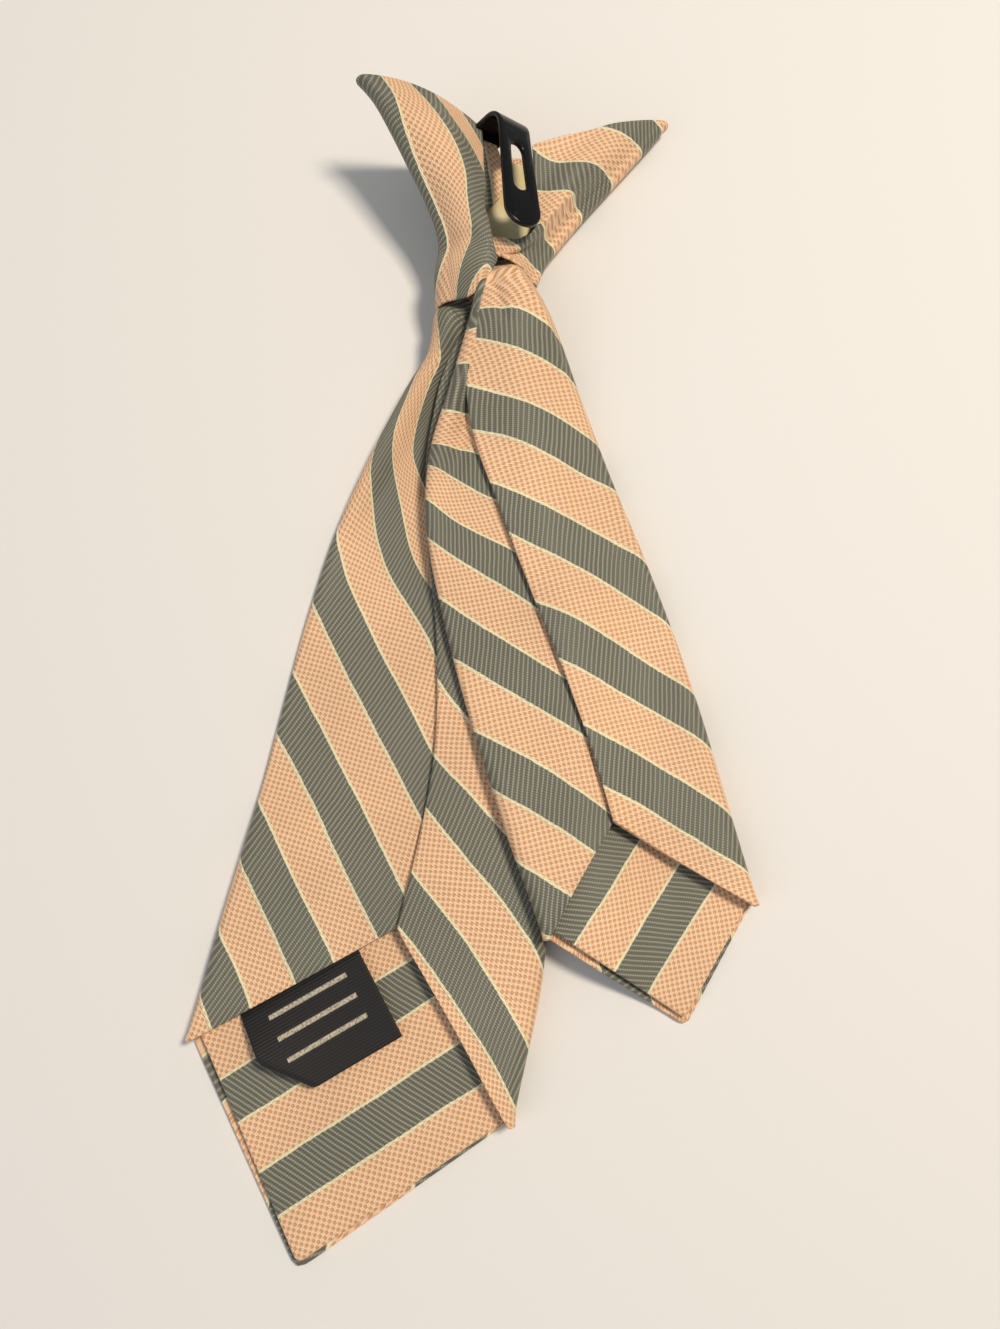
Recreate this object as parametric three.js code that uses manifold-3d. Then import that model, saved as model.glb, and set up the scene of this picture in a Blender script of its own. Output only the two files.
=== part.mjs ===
// Clip-on tie for a small child, lying face down with its back up.
// Millimetres, +Z up, +Y from the blades' points towards the knot, origin under the middle of the part.
import * as THREE from "three";
import { mergeVertices } from "three/addons/utils/BufferGeometryUtils.js";
import Module from "manifold-3d";

const wasm = await Module();
wasm.setup();

// Cloth
const CLOTH = 1.0; // wall of one layer: outer cloth with its interlining
const GAP = 0.3; // air between pieces
const LOFT = 0.42; // air between the layers of one blade
const LAP = 7; // how far the left flap runs on under the right one

// Wide blade
const WIDE_LENGTH = 161;
const WIDE_WIDTH = 53.8;
const WIDE_HEADING = 8.3; // degrees that the blade leans from +Y
const WIDE_POINT_LEFT = 36.7; // degrees between the blade's line and each edge of its point
const WIDE_POINT_RIGHT = 48.9;
const WIDE_NOTCH = 52.8; // from the point's tip up to where the two flaps part

// Narrow blade
const NARROW_LENGTH = 129;
const NARROW_WIDTH = 35.5;
const NARROW_HEADING = -13.3;
const NARROW_POINT_LEFT = 45.3;
const NARROW_POINT_RIGHT = 45.1;
const NARROW_NOTCH = 33.8;
const DRAPE = 17; // distance over which it slopes off the wide blade's edge

// Facings
const FACING_INSET = 1.2; // shows this much of the turned cloth along the point
const FACING_TUCK = 6; // runs on this far under the flaps
const FACING_EASE = 14; // distance over which the flaps come down behind the facing

// Label
const LABEL_WIDTH = 21;
const LABEL_LENGTH = 16;
const LABEL_PLACE = 0.22; // where it starts along the left flap's edge, as a share of that edge
const LABEL_CURL = 2.2; // lift of its free left side
const LABEL_STEPS = 6;

// Knot
const KNOT_WIDTH = 56; // wing tip to wing tip
const KNOT_HEIGHT = 41; // mouth to wing tips
const KNOT_DEPTH = 20; // table to the raised wing's tip
const KNOT_X = 0; // the knot's middle line
const KNOT_Y = 62; // the knot's mouth
const KNOT_ROLL = 20; // degrees that the former leans to the right
const KNOT_FLANK = 5; // how steeply the front ply rises to the folds
const KNOT_DIP = 0.1; // sag of the front ply's top edge between the wings, as a share of the height

// Where each blade's neck, the former's top and the clip's hook lie, in shares of the knot's width,
// height and depth.
const WIDE_NECK = { across: -0.14, up: 0.06, lift: 0 };
const NARROW_NECK = { across: 0, up: 0.11, lift: 0 };
const FORMER_PLACE = { across: 0.02, up: 0.69, lift: 0.48 };
const CLIP_PLACE = { across: -0.065, up: 0.695, lift: 0.475 };

// Former
const FORMER_THICK = 1.3;
const FORMER_TOP = 19;
const FORMER_BOTTOM = 9;
const FORMER_HEIGHT = 16.4;
const FORMER_CORNER = 3;

// Clip
const CLIP_WIDTH = 6.8;
const CLIP_THICK = 0.9;
const CLIP_ARM = 19; // hook to tongue
const CLIP_LEG = 9; // hook to the hidden end
const CLIP_SPACE = 9; // between arm and former, where the collar goes
const CLIP_BEND = 2.6; // radius of each bend of the hook
const CLIP_SLOT_WIDTH = 2.9;
const CLIP_SLOT_LENGTH = 9;
const CLIP_SLOT_END = 7; // solid tongue below the slot
const CLIP_TURN = 5; // degrees about the way that it faces
const CLIP_ROLL = 40; // degrees that it is twisted to the right

// Fineness
const ROWS = 22;
const KNOT_ROWS = 15;
const FLAP_STEPS = 6;
const FOLD_STEPS = 4;
const PLY_STEPS = 6;

const DEGREE = Math.PI / 180;

// Wide blade from its point (at 0) to the knot (at 1). left, right and seam are shares of its width;
// rise, roll and puff are shares of the knot's depth: the lift of the lower ply, and the height of the
// left and the right fold.
const WIDE_ROWS = [
  { at: 0.18, left: -0.437, right: 0.558, seam: 0.12, rise: 0, roll: 0.065, puff: 0.13 },
  { at: 0.3, left: -0.405, right: 0.585, seam: 0.127, rise: 0, roll: 0.065, puff: 0.13 },
  { at: 0.42, left: -0.365, right: 0.56, seam: 0.155, rise: 0, roll: 0.065, puff: 0.13 },
  { at: 0.52, left: -0.342, right: 0.51, seam: 0.155, rise: 0, roll: 0.07, puff: 0.13 },
  { at: 0.63, left: -0.315, right: 0.43, seam: 0.105, rise: 0, roll: 0.08, puff: 0.13 },
  { at: 0.73, left: -0.272, right: 0.33, seam: 0.03, rise: 0.01, roll: 0.11, puff: 0.13 },
  { at: 0.82, left: -0.195, right: 0.23, seam: -0.015, rise: 0.04, roll: 0.17, puff: 0.13 },
  { at: 0.9, left: -0.095, right: 0.16, seam: -0.01, rise: 0.11, roll: 0.18, puff: 0.13 },
  { at: 1, left: 0.06, right: 0.135, seam: 0.08, rise: 0.245, roll: 0.14, puff: 0.13 },
];

// Narrow blade, in the same columns and shares of its own width.
const NARROW_ROWS = [
  { at: 0.14, left: -0.54, right: 0.455, seam: -0.115, rise: 0, roll: 0.065, puff: 0.13 },
  { at: 0.27, left: -0.595, right: 0.445, seam: -0.115, rise: 0, roll: 0.065, puff: 0.13 },
  { at: 0.43, left: -0.64, right: 0.43, seam: -0.152, rise: 0, roll: 0.065, puff: 0.13 },
  { at: 0.58, left: -0.655, right: 0.383, seam: -0.225, rise: 0, roll: 0.07, puff: 0.13 },
  { at: 0.7, left: -0.63, right: 0.327, seam: -0.268, rise: 0, roll: 0.09, puff: 0.13 },
  { at: 0.79, left: -0.53, right: 0.293, seam: -0.275, rise: 0, roll: 0.13, puff: 0.13 },
  { at: 0.86, left: -0.375, right: 0.265, seam: -0.19, rise: 0, roll: 0.15, puff: 0.13 },
  { at: 0.93, left: -0.225, right: 0.225, seam: -0.1, rise: 0, roll: 0.14, puff: 0.13 },
  { at: 1, left: -0.1, right: 0.12, seam: -0.02, rise: 0, roll: 0.13, puff: 0.13 },
];

// Knot from its mouth to its top edge, in shares of its width (x), height (y) and depth (z): the left
// fold, the right fold, the free end of the left flap and of the right flap, the swell of each flap,
// and the floor that the front ply comes down to.
const KNOT_TABLE = [
  { at: 0, lx: -0.2, ly: 0, lz: 0.33, rx: 0.115, ry: 0.15, rz: 0.25, ax: -0.007, ay: 0.15, az: 0.68,
    bx: -0.005, by: 0.195, bz: 0.56, swellA: 0.08, swellB: 0.08, floor: 0.03, loop: 0.16 },
  { at: 0.15, lx: -0.202, ly: 0.13, lz: 0.45, rx: 0.15, ry: 0.28, rz: 0.19, ax: -0.021, ay: 0.245, az: 0.67,
    bx: -0.018, by: 0.26, bz: 0.59, swellA: 0.09, swellB: 0.09, floor: 0.01, loop: 0.16 },
  { at: 0.3, lx: -0.19, ly: 0.27, lz: 0.53, rx: 0.207, ry: 0.4, rz: 0.14, ax: -0.036, ay: 0.33, az: 0.68,
    bx: 0.014, by: 0.33, bz: 0.595, swellA: 0.1, swellB: 0.12, floor: 0, loop: 0.16 },
  { at: 0.45, lx: -0.223, ly: 0.41, lz: 0.62, rx: 0.291, ry: 0.55, rz: 0.12, ax: -0.05, ay: 0.41, az: 0.69,
    bx: 0.104, by: 0.41, bz: 0.53, swellA: 0.12, swellB: 0.1, floor: 0, loop: 0.16 },
  { at: 0.6, lx: -0.277, ly: 0.55, lz: 0.73, rx: 0.371, ry: 0.68, rz: 0.12, ax: -0.045, ay: 0.49, az: 0.69,
    bx: 0.1, by: 0.49, bz: 0.53, swellA: 0.12, swellB: 0.12, floor: 0, loop: 0.16 },
  { at: 0.75, lx: -0.336, ly: 0.7, lz: 0.83, rx: 0.45, ry: 0.81, rz: 0.12, ax: -0.02, ay: 0.565, az: 0.66,
    bx: 0.082, by: 0.57, bz: 0.54, swellA: 0.12, swellB: 0.11, floor: 0, loop: 0.16 },
  { at: 0.9, lx: -0.39, ly: 0.82, lz: 0.91, rx: 0.514, ry: 0.915, rz: 0.125, ax: -0.008, ay: 0.64, az: 0.64,
    bx: 0.082, by: 0.66, bz: 0.55, swellA: 0.09, swellB: 0.07, floor: 0.01, loop: 0.15 },
  { at: 1, lx: -0.44, ly: 0.89, lz: 0.97, rx: 0.5625, ry: 0.995, rz: 0.14, ax: -0.015, ay: 0.655, az: 0.64,
    bx: 0.088, by: 0.73, bz: 0.55, swellA: 0.06, swellB: 0.03, floor: 0.03, loop: 0.13 },
];

const stripedCloth = new THREE.MeshStandardMaterial({ color: 0xe3ac80, roughness: 0.7, metalness: 0 });
const facingCloth = new THREE.MeshStandardMaterial({ color: 0xd9a67c, roughness: 0.7, metalness: 0 });
const blackWoven = new THREE.MeshStandardMaterial({ color: 0x171513, roughness: 0.8, metalness: 0 });
const creamPlastic = new THREE.MeshStandardMaterial({ color: 0xb9ae85, roughness: 0.35, metalness: 0 });
const blackSteel = new THREE.MeshStandardMaterial({ color: 0x0c0c0c, roughness: 0.2, metalness: 0.3 });

const mix = (a, b, t) => a + (b - a) * t;
const clamp01 = (t) => Math.min(Math.max(t, 0), 1);
const smooth = (t) => clamp01(t) ** 2 * (3 - 2 * clamp01(t));

// The value of one column of a table at a share, on a smooth curve through its rows.
function column(table, name, at) {
  const last = table.length - 1;
  if (at <= table[0].at) return table[0][name];
  if (at >= table[last].at) return table[last][name];
  const i = table.findIndex((row) => row.at >= at) - 1;
  const [p, q] = [table[i], table[i + 1]];
  const before = table[Math.max(i - 1, 0)];
  const after = table[Math.min(i + 2, last)];
  const span = q.at - p.at;
  const t = (at - p.at) / span;
  const startSlope = (span * (q[name] - before[name])) / (q.at - before.at);
  const endSlope = (span * (after[name] - p[name])) / (after.at - p.at);
  const curve = mix(p[name], q[name], t);
  const bend = t * (1 - t);
  return curve + bend * ((1 - t) * (startSlope - (q[name] - p[name])) - t * (endSlope - (q[name] - p[name])));
}

// A closed wall of even thickness round a grid of points, rows by columns, with its rims.
function sheetGeometry(grid, thick) {
  const rows = grid.length;
  const cols = grid[0].length;
  const sides = [[], []];
  for (let j = 0; j < rows; j += 1) {
    for (let i = 0; i < cols; i += 1) {
      const across = grid[j][Math.min(i + 1, cols - 1)].clone().sub(grid[j][Math.max(i - 1, 0)]);
      const along = grid[Math.min(j + 1, rows - 1)][i].clone().sub(grid[Math.max(j - 1, 0)][i]);
      const normal = across.cross(along).normalize().multiplyScalar(thick / 2);
      sides[0].push(grid[j][i].clone().add(normal));
      sides[1].push(grid[j][i].clone().sub(normal));
    }
  }
  const back = rows * cols;
  const faces = [];
  const quad = (a, b, c, d) => faces.push(a, b, c, a, c, d);
  for (let j = 0; j + 1 < rows; j += 1) {
    for (let i = 0; i + 1 < cols; i += 1) {
      const a = j * cols + i;
      quad(a, a + 1, a + 1 + cols, a + cols);
      quad(back + a, back + a + cols, back + a + 1 + cols, back + a + 1);
    }
    const start = j * cols;
    const end = start + cols - 1;
    quad(start, start + cols, back + start + cols, back + start);
    quad(end, back + end, back + end + cols, end + cols);
  }
  for (let i = 0; i + 1 < cols; i += 1) {
    const top = (rows - 1) * cols + i;
    quad(i, back + i, back + i + 1, i + 1);
    quad(top, top + 1, back + top + 1, back + top);
  }
  const geometry = new THREE.BufferGeometry();
  const positions = sides.flat().flatMap((p) => p.toArray());
  geometry.setAttribute("position", new THREE.Float32BufferAttribute(positions, 3));
  geometry.setIndex(faces);
  geometry.computeVertexNormals();
  return geometry;
}

// A blade's line: where its neck is, which way it runs, and its own across and along directions.
function bladeLine(neckX, neckY, length, heading) {
  const along = new THREE.Vector2(Math.sin(heading * DEGREE), Math.cos(heading * DEGREE));
  const across = new THREE.Vector2(along.y, -along.x);
  const tip = new THREE.Vector2(neckX, neckY).addScaledVector(along, -length);
  return {
    place: (u, v) => tip.clone().addScaledVector(across, u).addScaledVector(along, v),
    find: (x, y) => {
      const d = new THREE.Vector2(x, y).sub(tip);
      return [d.dot(across), d.dot(along)];
    },
  };
}

// A folded blade. bed(x, y) is the height of what it lies on, and steep how much longer a layer's
// rise is on a sloping bed. Returns its sizes at any station and the heights of its layers over its
// lower ply.
function blade(spec) {
  const { length, width, rows, line, bed } = spec;
  const at = (name, v) => column(rows, name, v / length);
  const left = (v) => at("left", v) * width + CLOTH / 2;
  const right = (v) => at("right", v) * width - CLOTH / 2;
  const seam = (v) => at("seam", v) * width;
  const layer = CLOTH + LOFT;
  const firstRow = rows[0].at * length;
  const cornerLeft = -left(firstRow) / Math.tan(spec.pointLeft * DEGREE);
  const cornerRight = right(firstRow) / Math.tan(spec.pointRight * DEGREE);
  const facingEnd = spec.notch + FACING_TUCK;
  const facingLift = (v) => layer * (1 - smooth((v - facingEnd - FACING_TUCK / 2) / FACING_EASE));
  const under = (v) => layer + facingLift(v);
  const roll = (v) => Math.max(at("roll", v) * KNOT_DEPTH, under(v));
  const puff = (v) => Math.max(at("puff", v) * KNOT_DEPTH, under(v) + layer);
  const rise = (v) => Math.max(at("rise", v), 0) * KNOT_DEPTH;
  const lower = (u, v) => {
    const p = line.place(u, v);
    return CLOTH / 2 + bed(p.x, p.y) + rise(v);
  };
  const steep = (u, v) => {
    const p = line.place(u, v);
    const slopeX = (bed(p.x + CLOTH, p.y) - bed(p.x, p.y)) / CLOTH;
    const slopeY = (bed(p.x, p.y + CLOTH) - bed(p.x, p.y)) / CLOTH;
    return Math.hypot(1, slopeX, slopeY);
  };
  const sizes = { cornerLeft, cornerRight, facingEnd, layer };
  return { ...spec, ...sizes, left, right, seam, rise, steep, under, roll, puff, lower };
}

// The grid of points through the middle of a blade's cloth: left flap, left fold, lower ply, right
// fold and right flap across, and from the cut end to the neck along.
function bladeGrid(b) {
  const point = (u, v, z) => {
    const p = b.line.place(u, v);
    return new THREE.Vector3(p.x, p.y, z);
  };
  const grid = [];
  for (let j = 0; j <= ROWS; j += 1) {
    const r = j / ROWS;
    const centre = mix(0, b.length, r);
    const atLeft = mix(b.cornerLeft, b.length, r);
    const atRight = mix(b.cornerRight, b.length, r);
    const atSeam = mix(b.notch, b.length, r);
    const room = b.right(atSeam) - b.puff(atSeam) - b.seam(atSeam);
    const lap = Math.min(LAP, room / 2);
    const lapped = 1 + lap / (b.seam(atSeam) - b.left(atSeam));
    const row = [];
    for (let i = 0; i <= FLAP_STEPS; i += 1) {
      const f = (1 - i / FLAP_STEPS) ** 1.3;
      const v = Math.min(mix(atLeft, atSeam, f * lapped), b.length);
      const start = b.left(v) + b.roll(v) / 2;
      const u = mix(start, b.seam(v) + lap, f);
      const down = smooth((u - start) / (b.roll(v) + 1));
      const base = mix(b.lower(b.left(v), v), b.lower(u, v), down);
      row.push(point(u, v, base + mix(b.roll(v), b.under(v), down) * b.steep(u, v)));
    }
    for (let i = 1; i < FOLD_STEPS; i += 1) {
      const turn = (i / FOLD_STEPS) * Math.PI;
      const radius = b.roll(atLeft) / 2;
      const u = b.left(atLeft) + radius - Math.sin(turn) * radius;
      row.push(point(u, atLeft, b.lower(b.left(atLeft), atLeft) + radius + Math.cos(turn) * radius));
    }
    for (let i = -PLY_STEPS; i <= PLY_STEPS; i += 1) {
      const f = Math.abs(i) / PLY_STEPS;
      const v = mix(centre, i < 0 ? atLeft : atRight, f);
      const edge = i < 0 ? b.left(v) + b.roll(v) / 2 : b.right(v) - b.puff(v) / 2;
      const inner = i < 0 ? b.left(atLeft) + b.roll(atLeft) / 2 : b.right(atRight) - b.puff(atRight) / 2;
      const reach = v < Math.max(b.cornerLeft, b.cornerRight) ? inner : edge;
      row.push(point(reach * f, v, b.lower(reach * f, v)));
    }
    for (let i = 1; i < FOLD_STEPS; i += 1) {
      const turn = (i / FOLD_STEPS) * Math.PI;
      const radius = b.puff(atRight) / 2;
      const u = b.right(atRight) - radius + Math.sin(turn) * radius;
      row.push(point(u, atRight, b.lower(b.right(atRight), atRight) + radius - Math.cos(turn) * radius));
    }
    for (let i = 0; i <= FLAP_STEPS; i += 1) {
      const f = i / FLAP_STEPS;
      const v = mix(atRight, atSeam, f);
      const start = b.right(v) - b.puff(v) / 2;
      const u = mix(start, b.seam(v), f);
      const over = b.under(v) + b.layer;
      const down = smooth((start - u) / (b.puff(v) + 1));
      row.push(point(u, v, b.lower(u, v) + mix(b.puff(v), over, down) * b.steep(u, v)));
    }
    grid.push(row);
  }
  return grid;
}

// The facing inside a blade's point: a flat sheet between the lower ply and the flaps.
function facingGrid(b) {
  const inset = FACING_INSET / Math.sin(Math.min(b.pointLeft, b.pointRight) * DEGREE);
  const fold = (v, side) => side < 0
    ? b.left(v) + b.roll(v) / 2 + GAP
    : b.right(v) - b.puff(v) / 2 - GAP;
  const grid = [];
  for (let j = 0; j <= PLY_STEPS; j += 1) {
    const r = j / PLY_STEPS;
    const row = [];
    for (let i = -PLY_STEPS; i <= PLY_STEPS; i += 1) {
      const f = Math.abs(i) / PLY_STEPS;
      const corner = (i < 0 ? b.cornerLeft : b.cornerRight) + inset;
      const v = mix(mix(inset, corner, f), b.facingEnd, r);
      const u = fold(Math.max(v, corner), i) * f;
      const p = b.line.place(u, v);
      row.push(new THREE.Vector3(p.x, p.y, b.lower(u, v) + b.layer * b.steep(u, v)));
    }
    grid.push(row);
  }
  return grid;
}

// The label: a small sheet whose top runs along the left flap's edge, with its free left side lifted.
function labelGrid(b) {
  const from = b.line.place(b.left(b.cornerLeft) + b.roll(b.cornerLeft) / 2, b.cornerLeft);
  const edge = b.line.place(b.seam(b.notch), b.notch).sub(from);
  const start = from.clone().addScaledVector(edge, LABEL_PLACE);
  edge.normalize();
  const grid = [];
  for (let j = 0; j <= LABEL_STEPS; j += 1) {
    const loose = 1 - j / LABEL_STEPS;
    const row = [];
    for (let i = 0; i <= LABEL_STEPS; i += 1) {
      const across = (LABEL_WIDTH * i) / LABEL_STEPS;
      const down = LABEL_LENGTH * loose + CLOTH / 2 + 2 * GAP;
      const x = start.x + across * edge.x + down * edge.y;
      const y = start.y + across * edge.y - down * edge.x;
      const free = (1 - i / LABEL_STEPS) ** 2 * smooth(1.5 * loose);
      const [u, v] = b.line.find(x, y);
      row.push(new THREE.Vector3(x, y, b.lower(u, v) + 2 * b.layer + LABEL_CURL * free));
    }
    grid.push(row);
  }
  return grid;
}

// The knot's cloth: the left flap's free end, over the left wing, round the front and back over the
// right wing to the right flap's free end; from the mouth up to the top edge.
function knotGrid() {
  const grid = [];
  const place = (x, y, z) => new THREE.Vector3(KNOT_X + x, KNOT_Y + y, z);
  for (let j = 0; j <= KNOT_ROWS; j += 1) {
    const at = j / KNOT_ROWS;
    const x = (name) => column(KNOT_TABLE, name, at) * KNOT_WIDTH;
    const y = (name) => column(KNOT_TABLE, name, at) * KNOT_HEIGHT;
    const z = (name) => column(KNOT_TABLE, name, at) * KNOT_DEPTH;
    const radius = z("loop") / 2;
    const floor = CLOTH / 2 + Math.max(z("floor"), 0);
    const row = [];
    for (let i = 0; i <= FLAP_STEPS; i += 1) {
      const f = 1 - i / FLAP_STEPS;
      const swell = z("swellA") * 4 * f * (1 - f);
      row.push(place(mix(x("lx") + radius, x("ax"), f), mix(y("ly"), y("ay"), f ** 2.5),
        mix(z("lz") + radius, z("az"), f) + swell));
    }
    for (let i = 1; i < FOLD_STEPS; i += 1) {
      const turn = (i / FOLD_STEPS) * Math.PI;
      row.push(place(x("lx") + radius - Math.sin(turn) * radius, y("ly"), z("lz") + Math.cos(turn) * radius));
    }
    for (let i = 0; i <= 2 * PLY_STEPS; i += 1) {
      const f = i / (2 * PLY_STEPS);
      const fromLeft = (z("lz") - radius - floor) * (1 - f) ** KNOT_FLANK;
      const fromRight = (z("rz") - radius - floor) * f ** KNOT_FLANK;
      const dip = KNOT_DIP * KNOT_HEIGHT * at * 4 * f * (1 - f);
      const across = mix(x("lx") + radius, x("rx") - radius, f);
      row.push(place(across, mix(y("ly"), y("ry"), f) - dip, floor + fromLeft + fromRight));
    }
    for (let i = 1; i < FOLD_STEPS; i += 1) {
      const turn = (i / FOLD_STEPS) * Math.PI;
      row.push(place(x("rx") - radius + Math.sin(turn) * radius, y("ry"), z("rz") - Math.cos(turn) * radius));
    }
    for (let i = 0; i <= FLAP_STEPS; i += 1) {
      const f = i / FLAP_STEPS;
      const swell = z("swellB") * 4 * f * (1 - f);
      row.push(place(mix(x("rx") - radius, x("bx"), f), mix(y("ry"), y("by"), f ** 1.2),
        mix(z("rz") + radius, z("bz"), f) + swell));
    }
    grid.push(row);
  }
  return grid;
}

function toManifold(geometry) {
  const bare = geometry.clone();
  bare.deleteAttribute("normal");
  bare.deleteAttribute("uv");
  const merged = mergeVertices(bare, 1e-4);
  return new wasm.Manifold(new wasm.Mesh({
    numProp: 3,
    vertProperties: new Float32Array(merged.attributes.position.array),
    triVerts: new Uint32Array(merged.index.array),
  }));
}

function fromManifold(solid) {
  const mesh = solid.getMesh();
  const geometry = new THREE.BufferGeometry();
  geometry.setAttribute("position", new THREE.BufferAttribute(mesh.vertProperties, 3));
  geometry.setIndex(new THREE.BufferAttribute(mesh.triVerts, 1));
  geometry.computeVertexNormals();
  return geometry;
}

// The clip in its own place: x across the strip, y up the knot, z away from the knot's back, with
// y at 0 where the hook clears the former's top edge and z at 0 on the former's back face.
function clipGeometry() {
  const inside = -FORMER_THICK - GAP;
  const top = CLIP_SPACE + CLIP_THICK;
  const bottom = inside - CLIP_THICK;
  const out = CLIP_BEND + CLIP_THICK;
  const side = new THREE.Shape();
  side.moveTo(-CLIP_LEG, inside);
  side.lineTo(0, inside);
  side.absarc(0, inside + CLIP_BEND, CLIP_BEND, -Math.PI / 2, 0, false);
  side.absarc(0, CLIP_SPACE - CLIP_BEND, CLIP_BEND, 0, Math.PI / 2, false);
  side.lineTo(-CLIP_ARM, CLIP_SPACE);
  side.lineTo(-CLIP_ARM, top);
  side.lineTo(0, top);
  side.absarc(0, top - out, out, Math.PI / 2, 0, true);
  side.absarc(0, bottom + out, out, 0, -Math.PI / 2, true);
  side.lineTo(-CLIP_LEG, bottom);
  side.closePath();
  const strip = new THREE.ExtrudeGeometry(side, {
    depth: CLIP_WIDTH,
    bevelEnabled: false,
    curveSegments: 6,
  });
  strip.translate(0, 0, -CLIP_WIDTH / 2);
  strip.rotateX(Math.PI / 2);
  strip.rotateZ(Math.PI / 2);
  const half = CLIP_WIDTH / 2;
  const slotHalf = CLIP_SLOT_WIDTH / 2;
  const slotLow = -CLIP_ARM + CLIP_SLOT_END + slotHalf;
  const slotHigh = slotLow + CLIP_SLOT_LENGTH - CLIP_SLOT_WIDTH;
  const slot = new THREE.Shape();
  slot.absarc(0, slotHigh, slotHalf, 0, Math.PI, false);
  slot.absarc(0, slotLow, slotHalf, Math.PI, 2 * Math.PI, false);
  slot.closePath();
  const reach = CLIP_WIDTH * 2;
  const corners = new THREE.Shape();
  corners.moveTo(-reach, -CLIP_ARM - half);
  corners.lineTo(reach, -CLIP_ARM - half);
  corners.lineTo(reach, -CLIP_ARM + half);
  corners.lineTo(half, -CLIP_ARM + half);
  corners.absarc(0, -CLIP_ARM + half, half, 0, -Math.PI, true);
  corners.lineTo(-reach, -CLIP_ARM + half);
  corners.closePath();
  const cutter = (shape) => {
    const block = new THREE.ExtrudeGeometry(shape, {
      depth: CLIP_SPACE,
      bevelEnabled: false,
      curveSegments: 8,
    });
    block.translate(0, 0, CLIP_SPACE / 2);
    return toManifold(block);
  };
  return fromManifold(toManifold(strip).subtract(cutter(slot)).subtract(cutter(corners)));
}

// The former: a flat plate, wide at the top and rounded at the bottom, with z at 0 on its back face.
function formerGeometry() {
  const [top, bottom] = [FORMER_TOP / 2, FORMER_BOTTOM / 2];
  const shape = new THREE.Shape();
  shape.moveTo(-top, -FORMER_CORNER);
  shape.quadraticCurveTo(-top, 0, -top + FORMER_CORNER, 0);
  shape.lineTo(top - FORMER_CORNER, 0);
  shape.quadraticCurveTo(top, 0, top, -FORMER_CORNER);
  shape.lineTo(bottom, -FORMER_HEIGHT + bottom);
  shape.quadraticCurveTo(bottom, -FORMER_HEIGHT, 0, -FORMER_HEIGHT);
  shape.quadraticCurveTo(-bottom, -FORMER_HEIGHT, -bottom, -FORMER_HEIGHT + bottom);
  shape.closePath();
  const plate = new THREE.ExtrudeGeometry(shape, {
    depth: FORMER_THICK,
    bevelEnabled: false,
    curveSegments: 5,
  });
  plate.translate(0, 0, -FORMER_THICK);
  return plate;
}

const tie = new THREE.Group();

function add(parent, name, geometry, material) {
  const mesh = new THREE.Mesh(geometry, material);
  mesh.name = name;
  parent.add(mesh);
  return mesh;
}

// A place in the knot, from shares of its width, height and depth.
function inKnot(share) {
  return [KNOT_X + share.across * KNOT_WIDTH, KNOT_Y + share.up * KNOT_HEIGHT, share.lift * KNOT_DEPTH];
}

const [wideNeckX, wideNeckY] = inKnot(WIDE_NECK);
const [narrowNeckX, narrowNeckY] = inKnot(NARROW_NECK);

const wide = blade({
  length: WIDE_LENGTH,
  width: WIDE_WIDTH,
  rows: WIDE_ROWS,
  pointLeft: WIDE_POINT_LEFT,
  pointRight: WIDE_POINT_RIGHT,
  notch: WIDE_NOTCH,
  line: bladeLine(wideNeckX, wideNeckY, WIDE_LENGTH, WIDE_HEADING),
  bed: () => 0,
});

// The top of the wide blade where it lies under the narrow one, sloping off past its right edge.
function wideTop(x, y) {
  const [u, v] = wide.line.find(x, y);
  const off = smooth((u - wide.right(v) - wide.puff(v)) / DRAPE);
  const stack = wide.rise(v) + wide.puff(v) + CLOTH + LOFT;
  return stack * (1 - off);
}

const narrow = blade({
  length: NARROW_LENGTH,
  width: NARROW_WIDTH,
  rows: NARROW_ROWS,
  pointLeft: NARROW_POINT_LEFT,
  pointRight: NARROW_POINT_RIGHT,
  notch: NARROW_NOTCH,
  line: bladeLine(narrowNeckX, narrowNeckY, NARROW_LENGTH, NARROW_HEADING),
  bed: wideTop,
});

add(tie, "wide_blade", sheetGeometry(bladeGrid(wide), CLOTH), stripedCloth);
add(tie, "wide_facing", sheetGeometry(facingGrid(wide), CLOTH), facingCloth);
add(tie, "care_label", sheetGeometry(labelGrid(wide), CLOTH), blackWoven);
add(tie, "narrow_blade", sheetGeometry(bladeGrid(narrow), CLOTH), stripedCloth);
add(tie, "narrow_facing", sheetGeometry(facingGrid(narrow), CLOTH), facingCloth);
add(tie, "knot_wrap", sheetGeometry(knotGrid(), CLOTH), stripedCloth);

const former = add(tie, "knot_former", formerGeometry(), creamPlastic);
former.position.set(...inKnot(FORMER_PLACE));
former.rotation.set(0, KNOT_ROLL * DEGREE, 0);

const clip = add(tie, "collar_clip", clipGeometry(), blackSteel);
clip.position.set(...inKnot(CLIP_PLACE));
clip.rotation.set(0, CLIP_ROLL * DEGREE, CLIP_TURN * DEGREE, "ZYX");

tie.updateMatrixWorld(true);
const box = new THREE.Box3().setFromObject(tie);
tie.position.set(-(box.min.x + box.max.x) / 2, -(box.min.y + box.max.y) / 2, -box.min.z);

export default tie;
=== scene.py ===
"""The looks of a child's clip-on tie that lies face down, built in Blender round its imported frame.

Sizes in the classes are millimetres in the maker's frame, the one the part's source uses, and
shares of a blade's or the knot's own sizes. to_row turns a place into the row's metres.
"""

import logging
import math
from collections.abc import Callable, Sequence
from dataclasses import dataclass, field
from enum import Enum
from typing import Any

import bmesh
import bpy
import numpy
from mathutils import Matrix, Vector, noise

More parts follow.
